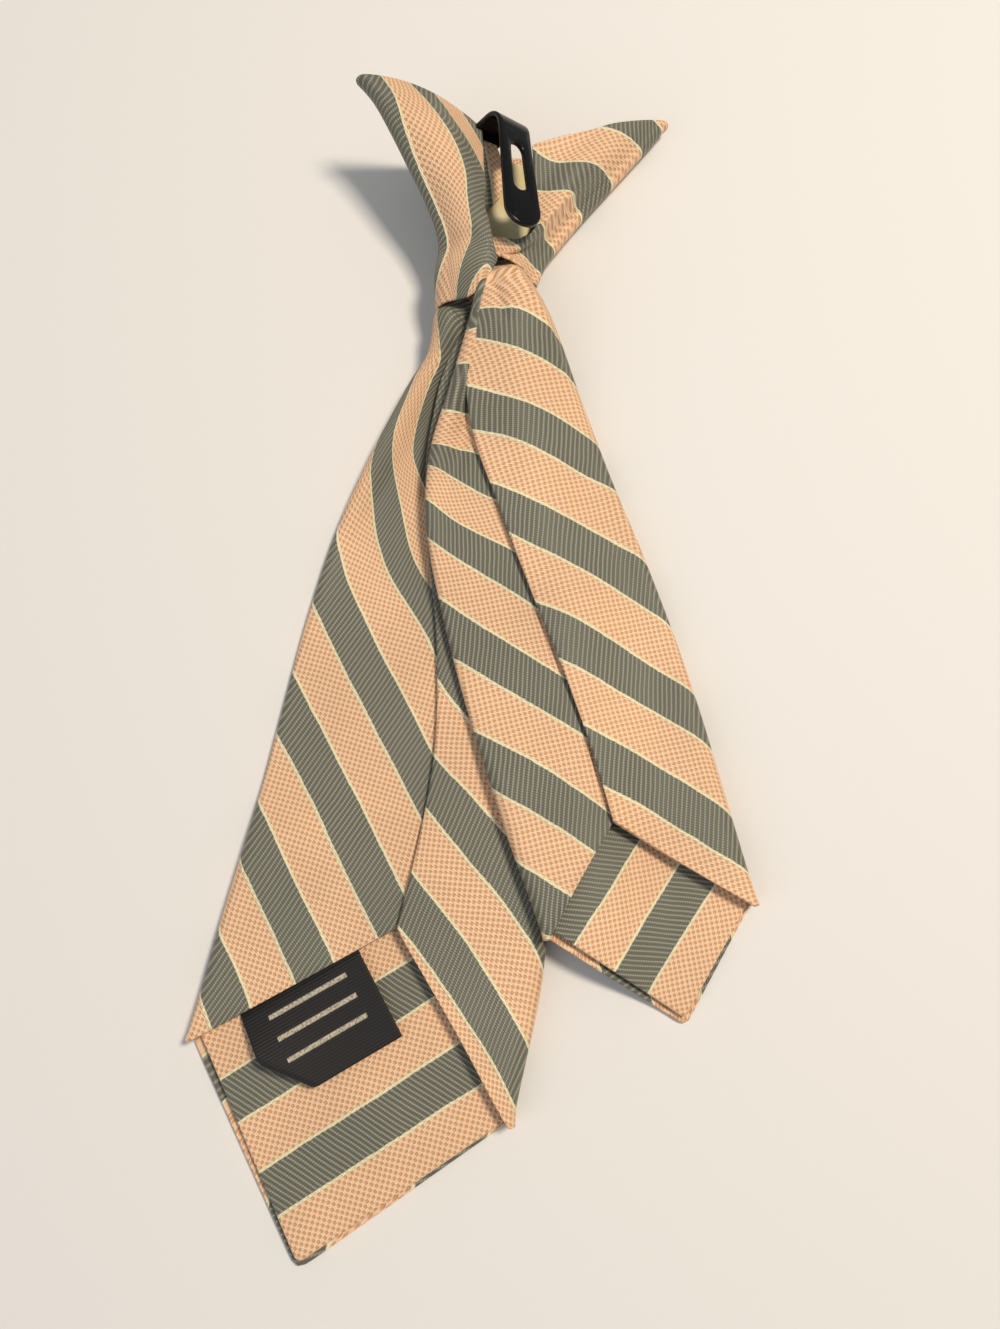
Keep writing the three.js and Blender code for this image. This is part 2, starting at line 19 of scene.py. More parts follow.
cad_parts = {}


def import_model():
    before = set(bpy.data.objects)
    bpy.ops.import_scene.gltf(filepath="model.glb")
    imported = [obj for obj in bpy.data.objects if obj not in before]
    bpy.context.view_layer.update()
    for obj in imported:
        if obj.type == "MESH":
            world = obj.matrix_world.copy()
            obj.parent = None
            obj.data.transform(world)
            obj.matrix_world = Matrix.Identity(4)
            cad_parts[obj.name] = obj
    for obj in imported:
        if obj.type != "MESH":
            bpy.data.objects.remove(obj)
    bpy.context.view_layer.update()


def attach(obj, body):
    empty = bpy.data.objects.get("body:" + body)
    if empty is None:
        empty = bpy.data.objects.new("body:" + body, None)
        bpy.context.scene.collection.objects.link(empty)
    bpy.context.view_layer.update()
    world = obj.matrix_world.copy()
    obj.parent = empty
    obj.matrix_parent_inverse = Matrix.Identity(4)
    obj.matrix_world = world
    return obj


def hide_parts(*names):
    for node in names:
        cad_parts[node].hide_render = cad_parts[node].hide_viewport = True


LOG = logging.getLogger("clip_on_tie")

MM = 0.001
TURN = 2 * math.pi
FRAME_SHIFT = Vector((3.955129623, -4.130058289, 0.0))
BODY = "root"
WEAVE_MAP = "weave"
EDGE_GROUP = "turned_edge"
REPEAT = 15.0  # one grey and one peach stripe, across, in mm
SAG_PEAK = 6.75  # brings the highest point of f * f * (1 - f) to 1


class Slot(Enum):
    """Names of the material slots."""

    CLOTH = "striped_cloth"
    LABEL = "woven_label"
    PLASTIC = "cream_plastic"
    STEEL = "black_steel"


class Part(Enum):
    """The parts of a folded strip, from its left free edge round to its right one."""

    LEFT_FLAP = 1
    LEFT_FOLD = 2
    PLY = 3
    RIGHT_FOLD = 4
    RIGHT_FLAP = 5


# Small sums


def mix(a: float, b: float, t: float) -> float:
    """The value a share t of the way from a to b."""
    return a + (b - a) * t


def smooth(t: float) -> float:
    """An even step from 0 to 1 as t goes from 0 to 1."""
    s = min(max(t, 0.0), 1.0)
    return s * s * (3 - 2 * s)


def read_rows(rows: Sequence[Any], name: str, at: float) -> float:
    """Reads one column of a table on a smooth curve through its rows.

    Args:
        rows: The table's rows, each with a place called at.
        name: The column.
        at: The place to read.

    Returns:
        The value there.
    """
    if at <= rows[0].at:
        return getattr(rows[0], name)
    if at >= rows[-1].at:
        return getattr(rows[-1], name)
    i = next(k for k, row in enumerate(rows) if row.at >= at) - 1
    p, q = rows[i], rows[i + 1]
    before, after = rows[max(i - 1, 0)], rows[min(i + 2, len(rows) - 1)]
    here, there = getattr(p, name), getattr(q, name)
    span = q.at - p.at
    t = (at - p.at) / span
    start_slope = span * (there - getattr(before, name)) / (q.at - before.at)
    end_slope = span * (getattr(after, name) - here) / (after.at - p.at)
    rise = there - here
    return mix(here, there, t) + t * (1 - t) * (
        (1 - t) * (start_slope - rise) - t * (end_slope - rise)
    )


@dataclass(frozen=True)
class Level:
    """A row with one column, for finding how much each row of a table counts."""

    at: float
    share: float


def row_shares(heights: Sequence[float], at: float) -> list[float]:
    """How much each row of a table with these places counts where read_rows reads it."""
    return [
        read_rows([Level(level, float(i == k)) for i, level in enumerate(heights)], "share", at)
        for k in range(len(heights))
    ]


def best_shares(terms: Sequence[Sequence[float]], wanted: Sequence[float]) -> list[float]:
    """The shares of the terms whose sums come closest to what is wanted, by least squares.

    Args:
        terms: The terms of each sum.
        wanted: What each sum should come to.

    Returns:
        One share for each term.
    """
    shares = numpy.linalg.lstsq(numpy.array(terms), numpy.array(wanted), rcond=None)[0]
    return [float(share) for share in shares]


def single(count: int, values: dict[int, float]) -> list[float]:
    """A row of terms that is nought but for the values given by their places."""
    return [values.get(i, 0.0) for i in range(count)]


def to_row(place: Vector) -> Vector:
    """Turns a place in the maker's millimetres into the row's metres."""
    return (place + FRAME_SHIFT) * MM


def waver(x: float, y: float) -> float:
    """How far soft cloth stands up of itself at a place, in mm: a low, slow unevenness."""
    slow = noise.noise(Vector((x / 21, y / 27, 0.4)))
    quick = noise.noise(Vector((x / 7, y / 9, 3.1)))
    return 0.16 * (1 + slow) + 0.05 * quick


# Colours and shader nodes


def colour(code: str) -> tuple[float, float, float, float]:
    """Turns an sRGB hex code into the linear colour that a socket takes."""
    parts = [int(code[i : i + 2], 16) / 255 for i in (0, 2, 4)]
    linear = [c / 12.92 if c <= 0.04045 else ((c + 0.055) / 1.055) ** 2.4 for c in parts]
    return (linear[0], linear[1], linear[2], 1.0)


def add_node(
    tree: bpy.types.NodeTree,
    kind: str,
    inputs: dict[str | int, Any] | None = None,
    **settings: Any,
) -> bpy.types.Node:
    """Adds a node with its settings and links.

    Args:
        tree: The material's node tree.
        kind: The node's Blender type.
        inputs: A value or another node's output for each input, by name or number.
        **settings: The node's own properties.

    Returns:
        The node.
    """
    node = tree.nodes.new(kind)
    for name, value in settings.items():
        setattr(node, name, value)
    for key, value in (inputs or {}).items():
        if isinstance(value, bpy.types.NodeSocket):
            tree.links.new(value, node.inputs[key])
        else:
            node.inputs[key].default_value = value
    return node


def new_material(name: str) -> tuple[bpy.types.Material, bpy.types.NodeTree]:
    """Makes an empty node material and returns it with its tree."""
    material = bpy.data.materials.new(name)
    material.use_nodes = True
    material.node_tree.nodes.clear()
    return material, material.node_tree


@dataclass(frozen=True)
class JacquardSatin:
    """Polyester jacquard: twill grey bands, honeycomb peach bands and a cream cord between them.

    Filament yarn gives it a soft sheen that slides over folds, and the bands differ in grain:
    fine slanting ribs in the grey, and staggered dimples in the peach. The dimples' darker colour
    is painted shade, and the grey between the ribs is partly the darker yarn, partly painted shade.
    """

    name: str = "polyester_jacquard"
    grey_share: float = 0.48
    cord_width: float = 0.5  # mm
    dimple_pitch: float = 1.16  # mm along a row of dimples, twice the step between rows
    twill_pitch: float = 0.76  # mm
    twill_slant: float = -27.0  # degrees from straight across the band
    yarn_pitch: float = 0.42  # mm
    peach: str = "E6C09A"
    # painted shade: the darker peach that fills the sunken dimples
    peach_dimple_shade: str = "CA9669"
    grey: str = "95937F"
    # partly the twill's darker yarn, partly painted shade in the grooves between raised ribs
    grey_dark_yarn_and_shade: str = "5C5B4E"
    cream: str = "E3D7AE"

    def make(self) -> bpy.types.Material:
        """Builds the material on the weave map, whose unit is one repeat of the stripes."""
        material, tree = new_material(self.name)
        weave = add_node(tree, "ShaderNodeUVMap", uv_map=WEAVE_MAP).outputs[0]
        wander = add_node(
            tree, "ShaderNodeTexNoise", {"Vector": weave, "Scale": 2.2, "Detail": 2.0}
        ).outputs["Color"]
        centred = add_node(
            tree, "ShaderNodeVectorMath", {0: wander, 1: (0.5, 0.5, 0.5)}, operation="SUBTRACT"
        ).outputs[0]
        cloth = add_node(
            tree,
            "ShaderNodeVectorMath",
            {0: centred, 1: (0.03, 0.03, 0.0), 2: weave},
            operation="MULTIPLY_ADD",
        ).outputs[0]
        across = add_node(tree, "ShaderNodeSeparateXYZ", {0: cloth}).outputs[0]
        thread_noise = add_node(
            tree, "ShaderNodeTexNoise", {"Vector": weave, "Scale": 34.0, "Detail": 1.0}
        ).outputs["Fac"]
        ragged = add_node(
            tree,
            "ShaderNodeMath",
            {0: thread_noise, 1: 0.016, 2: across},
            operation="MULTIPLY_ADD",
        ).outputs[0]
        from_middle = add_node(
            tree, "ShaderNodeMath", {0: ragged, 1: self.grey_share / 2}, operation="SUBTRACT"
        ).outputs[0]
        wrapped = add_node(
            tree, "ShaderNodeMath", {0: from_middle, 1: 0.5, 2: -0.5}, operation="WRAP"
        ).outputs[0]
        away = add_node(tree, "ShaderNodeMath", {0: wrapped}, operation="ABSOLUTE").outputs[0]
        half = self.grey_share / 2
        is_grey = add_node(
            tree,
            "ShaderNodeMapRange",
            {"Value": away, 1: half - 0.006, 2: half + 0.006, 3: 1.0, 4: 0.0},
            clamp=True,
        ).outputs[0]
        edge = add_node(tree, "ShaderNodeMath", {0: away, 1: half}, operation="SUBTRACT").outputs[0]
        edge_off = add_node(tree, "ShaderNodeMath", {0: edge}, operation="ABSOLUTE").outputs[0]
        cord_half = self.cord_width / REPEAT / 2
        is_cord = add_node(
            tree,
            "ShaderNodeMapRange",
            {"Value": edge_off, 1: cord_half * 0.7, 2: cord_half * 1.25, 3: 1.0, 4: 0.0},
            clamp=True,
        ).outputs[0]

        dimple_turns = TURN * REPEAT / self.dimple_pitch
        lattice = add_node(
            tree,
            "ShaderNodeVectorMath",
            {0: cloth, 1: (dimple_turns, dimple_turns, 0.0)},
            operation="MULTIPLY",
        ).outputs[0]
        waves = add_node(
            tree, "ShaderNodeVectorMath", {0: lattice}, operation="COSINE"
        ).outputs[0]
        parts = add_node(tree, "ShaderNodeSeparateXYZ", {0: waves}).outputs
        dimples = add_node(
            tree, "ShaderNodeMath", {0: parts[0], 1: parts[1]}, operation="MULTIPLY"
        ).outputs[0]
        is_dimple = add_node(
            tree,
            "ShaderNodeMapRange",
            {"Value": dimples, 1: -0.15, 2: 0.6, 3: 0.0, 4: 1.0},
            clamp=True,
            interpolation_type="SMOOTHSTEP",
        ).outputs[0]

        twill_turns = TURN * REPEAT / self.twill_pitch
        slant = math.radians(self.twill_slant)
        slanting = add_node(
            tree,
            "ShaderNodeVectorMath",
            {0: cloth, 1: (twill_turns * math.sin(slant), twill_turns * math.cos(slant), 0.0)},
            operation="DOT_PRODUCT",
        ).outputs["Value"]
        twill = add_node(tree, "ShaderNodeMath", {0: slanting}, operation="SINE").outputs[0]
        is_rib = add_node(
            tree,
            "ShaderNodeMapRange",
            {"Value": twill, 1: -0.15, 2: 1.0, 3: 0.0, 4: 1.0},
            clamp=True,
        ).outputs[0]
        yarn_turns = TURN * REPEAT / self.yarn_pitch
        yarn_way = add_node(
            tree,
            "ShaderNodeVectorMath",
            {0: cloth, 1: (yarn_turns, yarn_turns * 0.3, 0.0)},
            operation="DOT_PRODUCT",
        ).outputs["Value"]
        yarn = add_node(tree, "ShaderNodeMath", {0: yarn_way}, operation="SINE").outputs[0]
        float_share = add_node(
            tree, "ShaderNodeMapRange", {"Value": yarn, 1: -1.0, 2: 0.6, 3: 0.45, 4: 1.0}
        ).outputs[0]
        is_float = add_node(
            tree, "ShaderNodeMath", {0: is_rib, 1: float_share}, operation="MULTIPLY"
        ).outputs[0]

        fading = add_node(
            tree,
            "ShaderNodeTexNoise",
            {
                "Vector": add_node(tree, "ShaderNodeTexCoord").outputs["Object"],
                "Scale": 55.0,
                "Detail": 3.0,
            },
        ).outputs["Fac"]
        # painted shade: the dimples are coloured darker where the bump sinks them
        peach = add_node(
            tree,
            "ShaderNodeMix",
            {"Factor": is_dimple, 6: colour(self.peach), 7: colour(self.peach_dimple_shade)},
            data_type="RGBA",
        ).outputs[2]
        # partly the twill's yarn colours, partly painted shade: darker where the ribs sink
        grey = add_node(
            tree,
            "ShaderNodeMix",
            {"Factor": is_float, 6: colour(self.grey_dark_yarn_and_shade), 7: colour(self.grey)},
            data_type="RGBA",
        ).outputs[2]
        bands = add_node(
            tree, "ShaderNodeMix", {"Factor": is_grey, 6: peach, 7: grey}, data_type="RGBA"
        ).outputs[2]
        corded = add_node(
            tree,
            "ShaderNodeMix",
            {"Factor": is_cord, 6: bands, 7: colour(self.cream)},
            data_type="RGBA",
        ).outputs[2]
        yarn_light = add_node(
            tree,
            "ShaderNodeMapRange",
            {"Value": yarn, 1: -1.0, 2: 1.0, 3: 0.92, 4: 1.06},
        ).outputs[0]
        fading_light = add_node(
            tree,
            "ShaderNodeMapRange",
            {"Value": fading, 1: 0.3, 2: 0.7, 3: 0.93, 4: 1.06},
        ).outputs[0]
        light = add_node(
            tree, "ShaderNodeMath", {0: yarn_light, 1: fading_light}, operation="MULTIPLY"
        ).outputs[0]
        shade = add_node(
            tree, "ShaderNodeVectorMath", {0: corded, "Scale": light}, operation="SCALE"
        ).outputs[0]

        dimple_height = add_node(
            tree, "ShaderNodeMath", {0: is_dimple, 1: -0.8}, operation="MULTIPLY"
        ).outputs[0]
        rib_height = add_node(
            tree, "ShaderNodeMath", {0: is_rib, 1: 0.4}, operation="MULTIPLY"
        ).outputs[0]
        band_height = add_node(
            tree, "ShaderNodeMix", {0: is_grey, 2: dimple_height, 3: rib_height}
        ).outputs[0]
        with_cord = add_node(
            tree, "ShaderNodeMath", {0: is_cord, 1: 0.7, 2: band_height}, operation="MULTIPLY_ADD"
        ).outputs[0]
        height = add_node(
            tree, "ShaderNodeMath", {0: yarn, 1: 0.12, 2: with_cord}, operation="MULTIPLY_ADD"
        ).outputs[0]
        bump = add_node(
            tree, "ShaderNodeBump", {"Height": height, "Strength": 0.75, "Distance": 0.00022}
        ).outputs[0]
        roughness = add_node(
            tree,
            "ShaderNodeMapRange",
            {"Value": is_grey, 1: 0.0, 2: 1.0, 3: 0.62, 4: 0.5},
        ).outputs[0]
        shader = add_node(
            tree,
            "ShaderNodeBsdfPrincipled",
            {
                "Base Color": shade,
                "Roughness": roughness,
                "Normal": bump,
                "IOR": 1.5,
                "Specular IOR Level": 0.4,
                "Sheen Weight": 0.18,
                "Sheen Roughness": 0.45,
                "Sheen Tint": colour("FFE9D6"),
            },
        )
        add_node(tree, "ShaderNodeOutputMaterial", {"Surface": shader.outputs[0]})
        return material


@dataclass(frozen=True)
class DamaskTape:
    """Black damask label tape: close ribs with a dull shine, and pale woven bars instead of words."""

    name: str = "damask_label_tape"
    rib_pitch: float = 0.5  # mm, coarser than the real 0.2 so that it shows
    ground: str = "0C0B0A"
    # painted highlight: the lighter black on each rib's crest
    ground_rib_highlight: str = "1D1A18"
    bar: str = "C9BEA6"
    bar_rows: tuple[float, ...] = (3.4, 6.9, 10.4)  # mm from the sewn edge
    bar_reach: tuple[float, float] = (4.0, 17.6)  # mm along the sewn edge
    bar_height: float = 0.7  # mm

    def make(self) -> bpy.types.Material:
        """Builds the material on the weave map, which holds the label's own millimetres."""
        material, tree = new_material(self.name)
        weave = add_node(tree, "ShaderNodeUVMap", uv_map=WEAVE_MAP).outputs[0]
        along, down = add_node(tree, "ShaderNodeSeparateXYZ", {0: weave}).outputs[:2]
        ribs = add_node(
            tree,
            "ShaderNodeMath",
            {0: down, 1: TURN / self.rib_pitch},
            operation="MULTIPLY",
        ).outputs[0]
        rib = add_node(tree, "ShaderNodeMath", {0: ribs}, operation="SINE").outputs[0]
        is_rib = add_node(
            tree, "ShaderNodeMapRange", {"Value": rib, 1: -1.0, 2: 1.0, 3: 0.0, 4: 1.0}
        ).outputs[0]
        ragged = add_node(
            tree, "ShaderNodeTexNoise", {"Vector": weave, "Scale": 3.0, "Detail": 1.0}
        ).outputs["Fac"]
        on_bar: Any = 0.0
        for row in self.bar_rows:
            off = add_node(
                tree, "ShaderNodeMath", {0: down, 1: row}, operation="SUBTRACT"
            ).outputs[0]
            far = add_node(tree, "ShaderNodeMath", {0: off}, operation="ABSOLUTE").outputs[0]
            here = add_node(
                tree,
                "ShaderNodeMapRange",
                {
                    "Value": far,
                    1: self.bar_height * 0.35,
                    2: self.bar_height * 0.65,
                    3: 1.0,
                    4: 0.0,
                },
                clamp=True,
            ).outputs[0]
            on_bar = add_node(
                tree, "ShaderNodeMath", {0: here, 1: on_bar}, operation="MAXIMUM"
            ).outputs[0]
        middle = sum(self.bar_reach) / 2
        reach = (self.bar_reach[1] - self.bar_reach[0]) / 2
        sideways = add_node(
            tree, "ShaderNodeMath", {0: along, 1: middle}, operation="SUBTRACT"
        ).outputs[0]
        aside = add_node(tree, "ShaderNodeMath", {0: sideways}, operation="ABSOLUTE").outputs[0]
        inside = add_node(
            tree,
            "ShaderNodeMath",
            {0: aside, 1: reach},
            operation="LESS_THAN",
        ).outputs[0]
        thinned = add_node(
            tree,
            "ShaderNodeMapRange",
            {"Value": ragged, 1: 0.35, 2: 0.6, 3: 0.35, 4: 0.9},
            clamp=True,
        ).outputs[0]
        bar = add_node(
            tree, "ShaderNodeMath", {0: on_bar, 1: inside}, operation="MULTIPLY"
        ).outputs[0]
        woven_bar = add_node(
            tree, "ShaderNodeMath", {0: bar, 1: thinned}, operation="MULTIPLY"
        ).outputs[0]
        # painted highlight: the ribs' crests are coloured lighter where the bump raises them
        ground = add_node(
            tree,
            "ShaderNodeMix",
            {"Factor": is_rib, 6: colour(self.ground), 7: colour(self.ground_rib_highlight)},
            data_type="RGBA",
        ).outputs[2]
        shade = add_node(
            tree,
            "ShaderNodeMix",
            {"Factor": woven_bar, 6: ground, 7: colour(self.bar)},
            data_type="RGBA",
        ).outputs[2]
        bump = add_node(
            tree, "ShaderNodeBump", {"Height": is_rib, "Strength": 0.5, "Distance": 0.00012}
        ).outputs[0]
        shader = add_node(
            tree,
            "ShaderNodeBsdfPrincipled",
            {
                "Base Color": shade,
                "Roughness": 0.62,
                "Normal": bump,
                "IOR": 1.5,
                "Specular IOR Level": 0.35,
                "Sheen Weight": 0.08,
            },
        )
        add_node(tree, "ShaderNodeOutputMaterial", {"Surface": shader.outputs[0]})
        return material


@dataclass(frozen=True)
class MouldedPolythene:
    """Natural polythene, injection moulded: waxy, cream and a little see-through at its rims."""

    name: str = "natural_polythene"
    cream: str = "CFC79D"
    amber: str = "C3A267"

    def make(self) -> bpy.types.Material:
        """Builds the material on Object coordinates."""
        material, tree = new_material(self.name)
        place = add_node(tree, "ShaderNodeTexCoord").outputs["Object"]
        clouds = add_node(
            tree, "ShaderNodeTexNoise", {"Vector": place, "Scale": 160.0, "Detail": 2.0}
        ).outputs["Fac"]
        tint = add_node(
            tree,
            "ShaderNodeMapRange",
            {"Value": clouds, 1: 0.4, 2: 0.75, 3: 0.0, 4: 0.6},
            clamp=True,
        ).outputs[0]
        shade = add_node(
            tree,
            "ShaderNodeMix",
            {"Factor": tint, 6: colour(self.cream), 7: colour(self.amber)},
            data_type="RGBA",
        ).outputs[2]
        grain = add_node(
            tree, "ShaderNodeTexNoise", {"Vector": place, "Scale": 2500.0, "Detail": 1.0}
        ).outputs["Fac"]
        bump = add_node(
            tree, "ShaderNodeBump", {"Height": grain, "Strength": 0.15, "Distance": 0.0001}
        ).outputs[0]
        shader = add_node(
            tree,
            "ShaderNodeBsdfPrincipled",
            {
                "Base Color": shade,
                "Roughness": 0.38,
                "Normal": bump,
                "IOR": 1.51,
                "Subsurface Weight": 0.35,
                "Subsurface Radius": (1.0, 0.8, 0.5),
                "Subsurface Scale": 0.002,
            },
        )
        add_node(tree, "ShaderNodeOutputMaterial", {"Surface": shader.outputs[0]})
        return material


@dataclass(frozen=True)
class StovedEnamel:
    """Black stoved enamel on pressed steel: deep gloss with a faint orange peel and fine rubs."""

    name: str = "stoved_enamel_steel"
    black: str = "070707"
    rubbed: str = "141416"

    def make(self) -> bpy.types.Material:
        """Builds the material on Object coordinates."""
        material, tree = new_material(self.name)
        place = add_node(tree, "ShaderNodeTexCoord").outputs["Object"]
        rubs = add_node(
            tree, "ShaderNodeTexNoise", {"Vector": place, "Scale": 700.0, "Detail": 4.0}
        ).outputs["Fac"]
        rubbed = add_node(
            tree,
            "ShaderNodeMapRange",
            {"Value": rubs, 1: 0.55, 2: 0.72, 3: 0.0, 4: 0.5},
            clamp=True,
        ).outputs[0]
        shade = add_node(
            tree,
            "ShaderNodeMix",
            {"Factor": rubbed, 6: colour(self.black), 7: colour(self.rubbed)},
            data_type="RGBA",
        ).outputs[2]
        roughness = add_node(
            tree, "ShaderNodeMapRange", {"Value": rubbed, 1: 0.0, 2: 0.5, 3: 0.16, 4: 0.3}
        ).outputs[0]
        peel = add_node(
            tree, "ShaderNodeTexNoise", {"Vector": place, "Scale": 900.0, "Detail": 1.0}
        ).outputs["Fac"]
        bump = add_node(
            tree, "ShaderNodeBump", {"Height": peel, "Strength": 0.12, "Distance": 0.00008}
        ).outputs[0]
        shader = add_node(
            tree,
            "ShaderNodeBsdfPrincipled",
            {
                "Base Color": shade,
                "Roughness": roughness,
                "Normal": bump,
                "IOR": 1.5,
                "Specular IOR Level": 0.3,
            },
        )
        add_node(tree, "ShaderNodeOutputMaterial", {"Surface": shader.outputs[0]})
        return material


@dataclass(frozen=True)
class TableCard:
    """Plain pale card under the tie."""

    name: str = "pale_card"
    pale: str = "DCD9D3"

    def make(self) -> bpy.types.Material:
        """Builds the material on Object coordinates."""
        material, tree = new_material(self.name)
        shader = add_node(
            tree,
            "ShaderNodeBsdfPrincipled",
            {"Base Color": colour(self.pale), "Roughness": 0.85, "Specular IOR Level": 0.2},
        )
        add_node(tree, "ShaderNodeOutputMaterial", {"Surface": shader.outputs[0]})
        return material


@dataclass(frozen=True)
class Crease:
    """A soft ridge along a line of places on the table, or a valley where its lift is negative."""

    line: tuple[tuple[float, float], ...]
    lift: float
    spread: float

    def height(self, x: float, y: float) -> float:
        """How far the crease lifts the cloth at a place, in mm."""
        here = Vector((x, y))
        nearest = math.inf
        for start, end in zip(self.line, self.line[1:]):
            a, b = Vector(start), Vector(end)
            way = b - a
            t = min(max((here - a).dot(way) / way.length_squared, 0.0), 1.0)
            nearest = min(nearest, (here - a - way * t).length)
        return self.lift * math.exp(-((nearest / self.spread) ** 2))


# Cloth as a shaped grid


@dataclass(frozen=True)
class Spot:
    """One point of a cloth: its place in mm, its place on the weave map and how turned its edge is."""

    place: Vector
    weave: tuple[float, float]
    edge: float = 0.0


@dataclass(frozen=True)
class Strip:
    """How many columns each part of a folded strip has."""

    flap: int = 20
    fold: int = 7
    ply: int = 26

    def columns(self) -> list[tuple[Part, float]]:
        """Every column's part, with its share of the way across that part."""
        turns = [i / self.fold for i in range(1, self.fold)]
        return [
            *[(Part.LEFT_FLAP, 1 - i / self.flap) for i in range(self.flap + 1)],
            *[(Part.LEFT_FOLD, turn) for turn in turns],
            *[(Part.PLY, i / self.ply) for i in range(self.ply + 1)],
            *[(Part.RIGHT_FOLD, turn) for turn in turns],
            *[(Part.RIGHT_FLAP, i / self.flap) for i in range(self.flap + 1)],
        ]


def shaped_cloth(
    name: str,
    columns: Sequence[Any],
    rows: Sequence[float],
    spot: Callable[[Any, float], Spot],
    thick: float,
    thin_share: float,
    material: bpy.types.Material,
) -> bpy.types.Object:
    """Makes a cloth from a flat grid whose points are moved to their places.

    Args:
        name: The piece's name.
        columns: What each column stands for.
        rows: What each row stands for, from 0 to 1.
        spot: Gives the point of a column and a row.
        thick: The cloth's thickness at a turned edge, in mm.
        thin_share: The share of that thickness in the middle of the cloth.
        material: The cloth's finish.

    Returns:
        The piece, with its wall and its rounding as modifiers.
    """
    mesh = bpy.data.meshes.new(name)
    piece = bpy.data.objects.new(name, mesh)
    bpy.context.scene.collection.objects.link(piece)
    piece.vertex_groups.new(name=EDGE_GROUP)
    across, along = len(columns) - 1, len(rows) - 1
    bm = bmesh.new()
    bmesh.ops.create_grid(bm, x_segments=across, y_segments=along, size=1.0)
    deform = bm.verts.layers.deform.verify()
    weave = bm.loops.layers.uv.new(WEAVE_MAP)
    spots: dict[int, Spot] = {}
    for vert in bm.verts:
        column = columns[round((vert.co.x + 1) / 2 * across)]
        row = rows[round((vert.co.y + 1) / 2 * along)]
        here = spot(column, row)
        spots[vert.index] = here
        vert[deform][0] = here.edge
    for vert in bm.verts:
        vert.co = to_row(spots[vert.index].place)
    for face in bm.faces:
        face.smooth = True
        for loop in face.loops:
            loop[weave].uv = spots[loop.vert.index].weave
    bm.to_mesh(mesh)
    bm.free()
    mesh.materials.append(material)
    wall = piece.modifiers.new("wall", "SOLIDIFY")
    wall.thickness = thick * MM
    wall.offset = 0.0
    wall.vertex_group = EDGE_GROUP
    wall.thickness_vertex_group = thin_share
    wall.use_even_offset = False
    rounding = piece.modifiers.new("rounding", "SUBSURF")
    rounding.levels = 1
    rounding.render_levels = 1
    return piece


def stand_in(piece: bpy.types.Object, node: str) -> None:
    """Puts a piece in the place of a CAD node, on the tie's one body."""
    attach(piece, BODY)
    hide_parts(node)
    LOG.info("%s: %d faces", piece.name, len(piece.data.polygons))


# Blades


@dataclass(frozen=True)
class Station:
    """A row of a blade's table: a share of its length, then its edges, seam, rise and rolls."""

    at: float
    left: float
    right: float
    seam: float
    roll: float
    rise: float = 0.0
    puff: float = 0.13


@dataclass(frozen=True)
class StripeEdge:
    """One edge of a stripe, read in the photograph: its count and some places on it.

    A grey stripe starts at a whole count and ends 0.48 later. Places seen only just past the
    cloth's edge have less trust.
    """

    count: float
    places: tuple[tuple[float, float], ...]
    trust: float = 1.0


@dataclass(frozen=True)
class Stripes:
    """A row of a flap's stripe table: how far the stripes have run at a height up the blade."""

    at: float
    run: float
    lean: float
    bend: float = 0.0


@dataclass(frozen=True)
class StripedFlap:
    """The stripes on one flap, counted in repeats from the neck to the tip."""

    rows: tuple[Stripes, ...]
    grain: tuple[float, float]

    def weave(self, from_edge: float, u: float, v: float) -> tuple[float, float]:
        """The weave map's place of a point.

        Args:
            from_edge: How far the point is to the right of the line the table is read on, in mm.
            u: Its place across the blade.
            v: Its place along the blade, from the tip.

        Returns:
            The repeats across the stripes, and the way along them in repeats.
        """
        run = read_rows(self.rows, "run", v)
        lean = read_rows(self.rows, "lean", v)
        bend = read_rows(self.rows, "bend", v)
        across = run + lean * from_edge + bend * from_edge * from_edge
        return across, (u * self.grain[0] - v * self.grain[1]) / REPEAT


@dataclass(frozen=True)
class FlapReadings:
    """Where the stripes' edges lie on one flap, in mm across the blade and along it."""

    heights: tuple[float, ...]
    usual_lean: float
    grain: tuple[float, float]
    edges: tuple[StripeEdge, ...]
    stiffness: tuple[float, float, float] = (0.2, 5.0, 100.0)
    lean_hold: float = 0.5
    bend_hold: float = 15.0

    def stripes(self, line: Callable[[float], float]) -> StripedFlap:
        """Works out the flap's stripes: smooth rows that come close to every reading.

        Args:
            line: The place across, at a height, of the line that the rows are read on.

        Returns:
            The stripes.
        """
        count = len(self.heights)
        terms: list[list[float]] = []
        wanted: list[float] = []
        for edge in self.edges:
            for u, v in edge.places:
                away = u - line(v)
                shares = row_shares(self.heights, v)
                terms.append([share * away**power for power in range(3) for share in shares])
                wanted.append(edge.count)
        for power, stiffness in enumerate(self.stiffness):
            for k in range(1, count - 1):
                here = power * count + k
                before = stiffness / (self.heights[k] - self.heights[k - 1])
                after = stiffness / (self.heights[k + 1] - self.heights[k])
                bend = {here - 1: before, here: -before - after, here + 1: after}
                terms.append(single(3 * count, bend))
                wanted.append(0.0)
        for k in range(count):
            terms.append(single(3 * count, {count + k: self.lean_hold}))
            wanted.append(self.usual_lean * self.lean_hold)
            terms.append(single(3 * count, {2 * count + k: self.bend_hold}))
            wanted.append(0.0)
        found = best_shares(terms, wanted)
        rows = tuple(
            Stripes(height, found[k], found[count + k], found[2 * count + k])
            for k, height in enumerate(self.heights)
        )
        return StripedFlap(rows, self.grain)


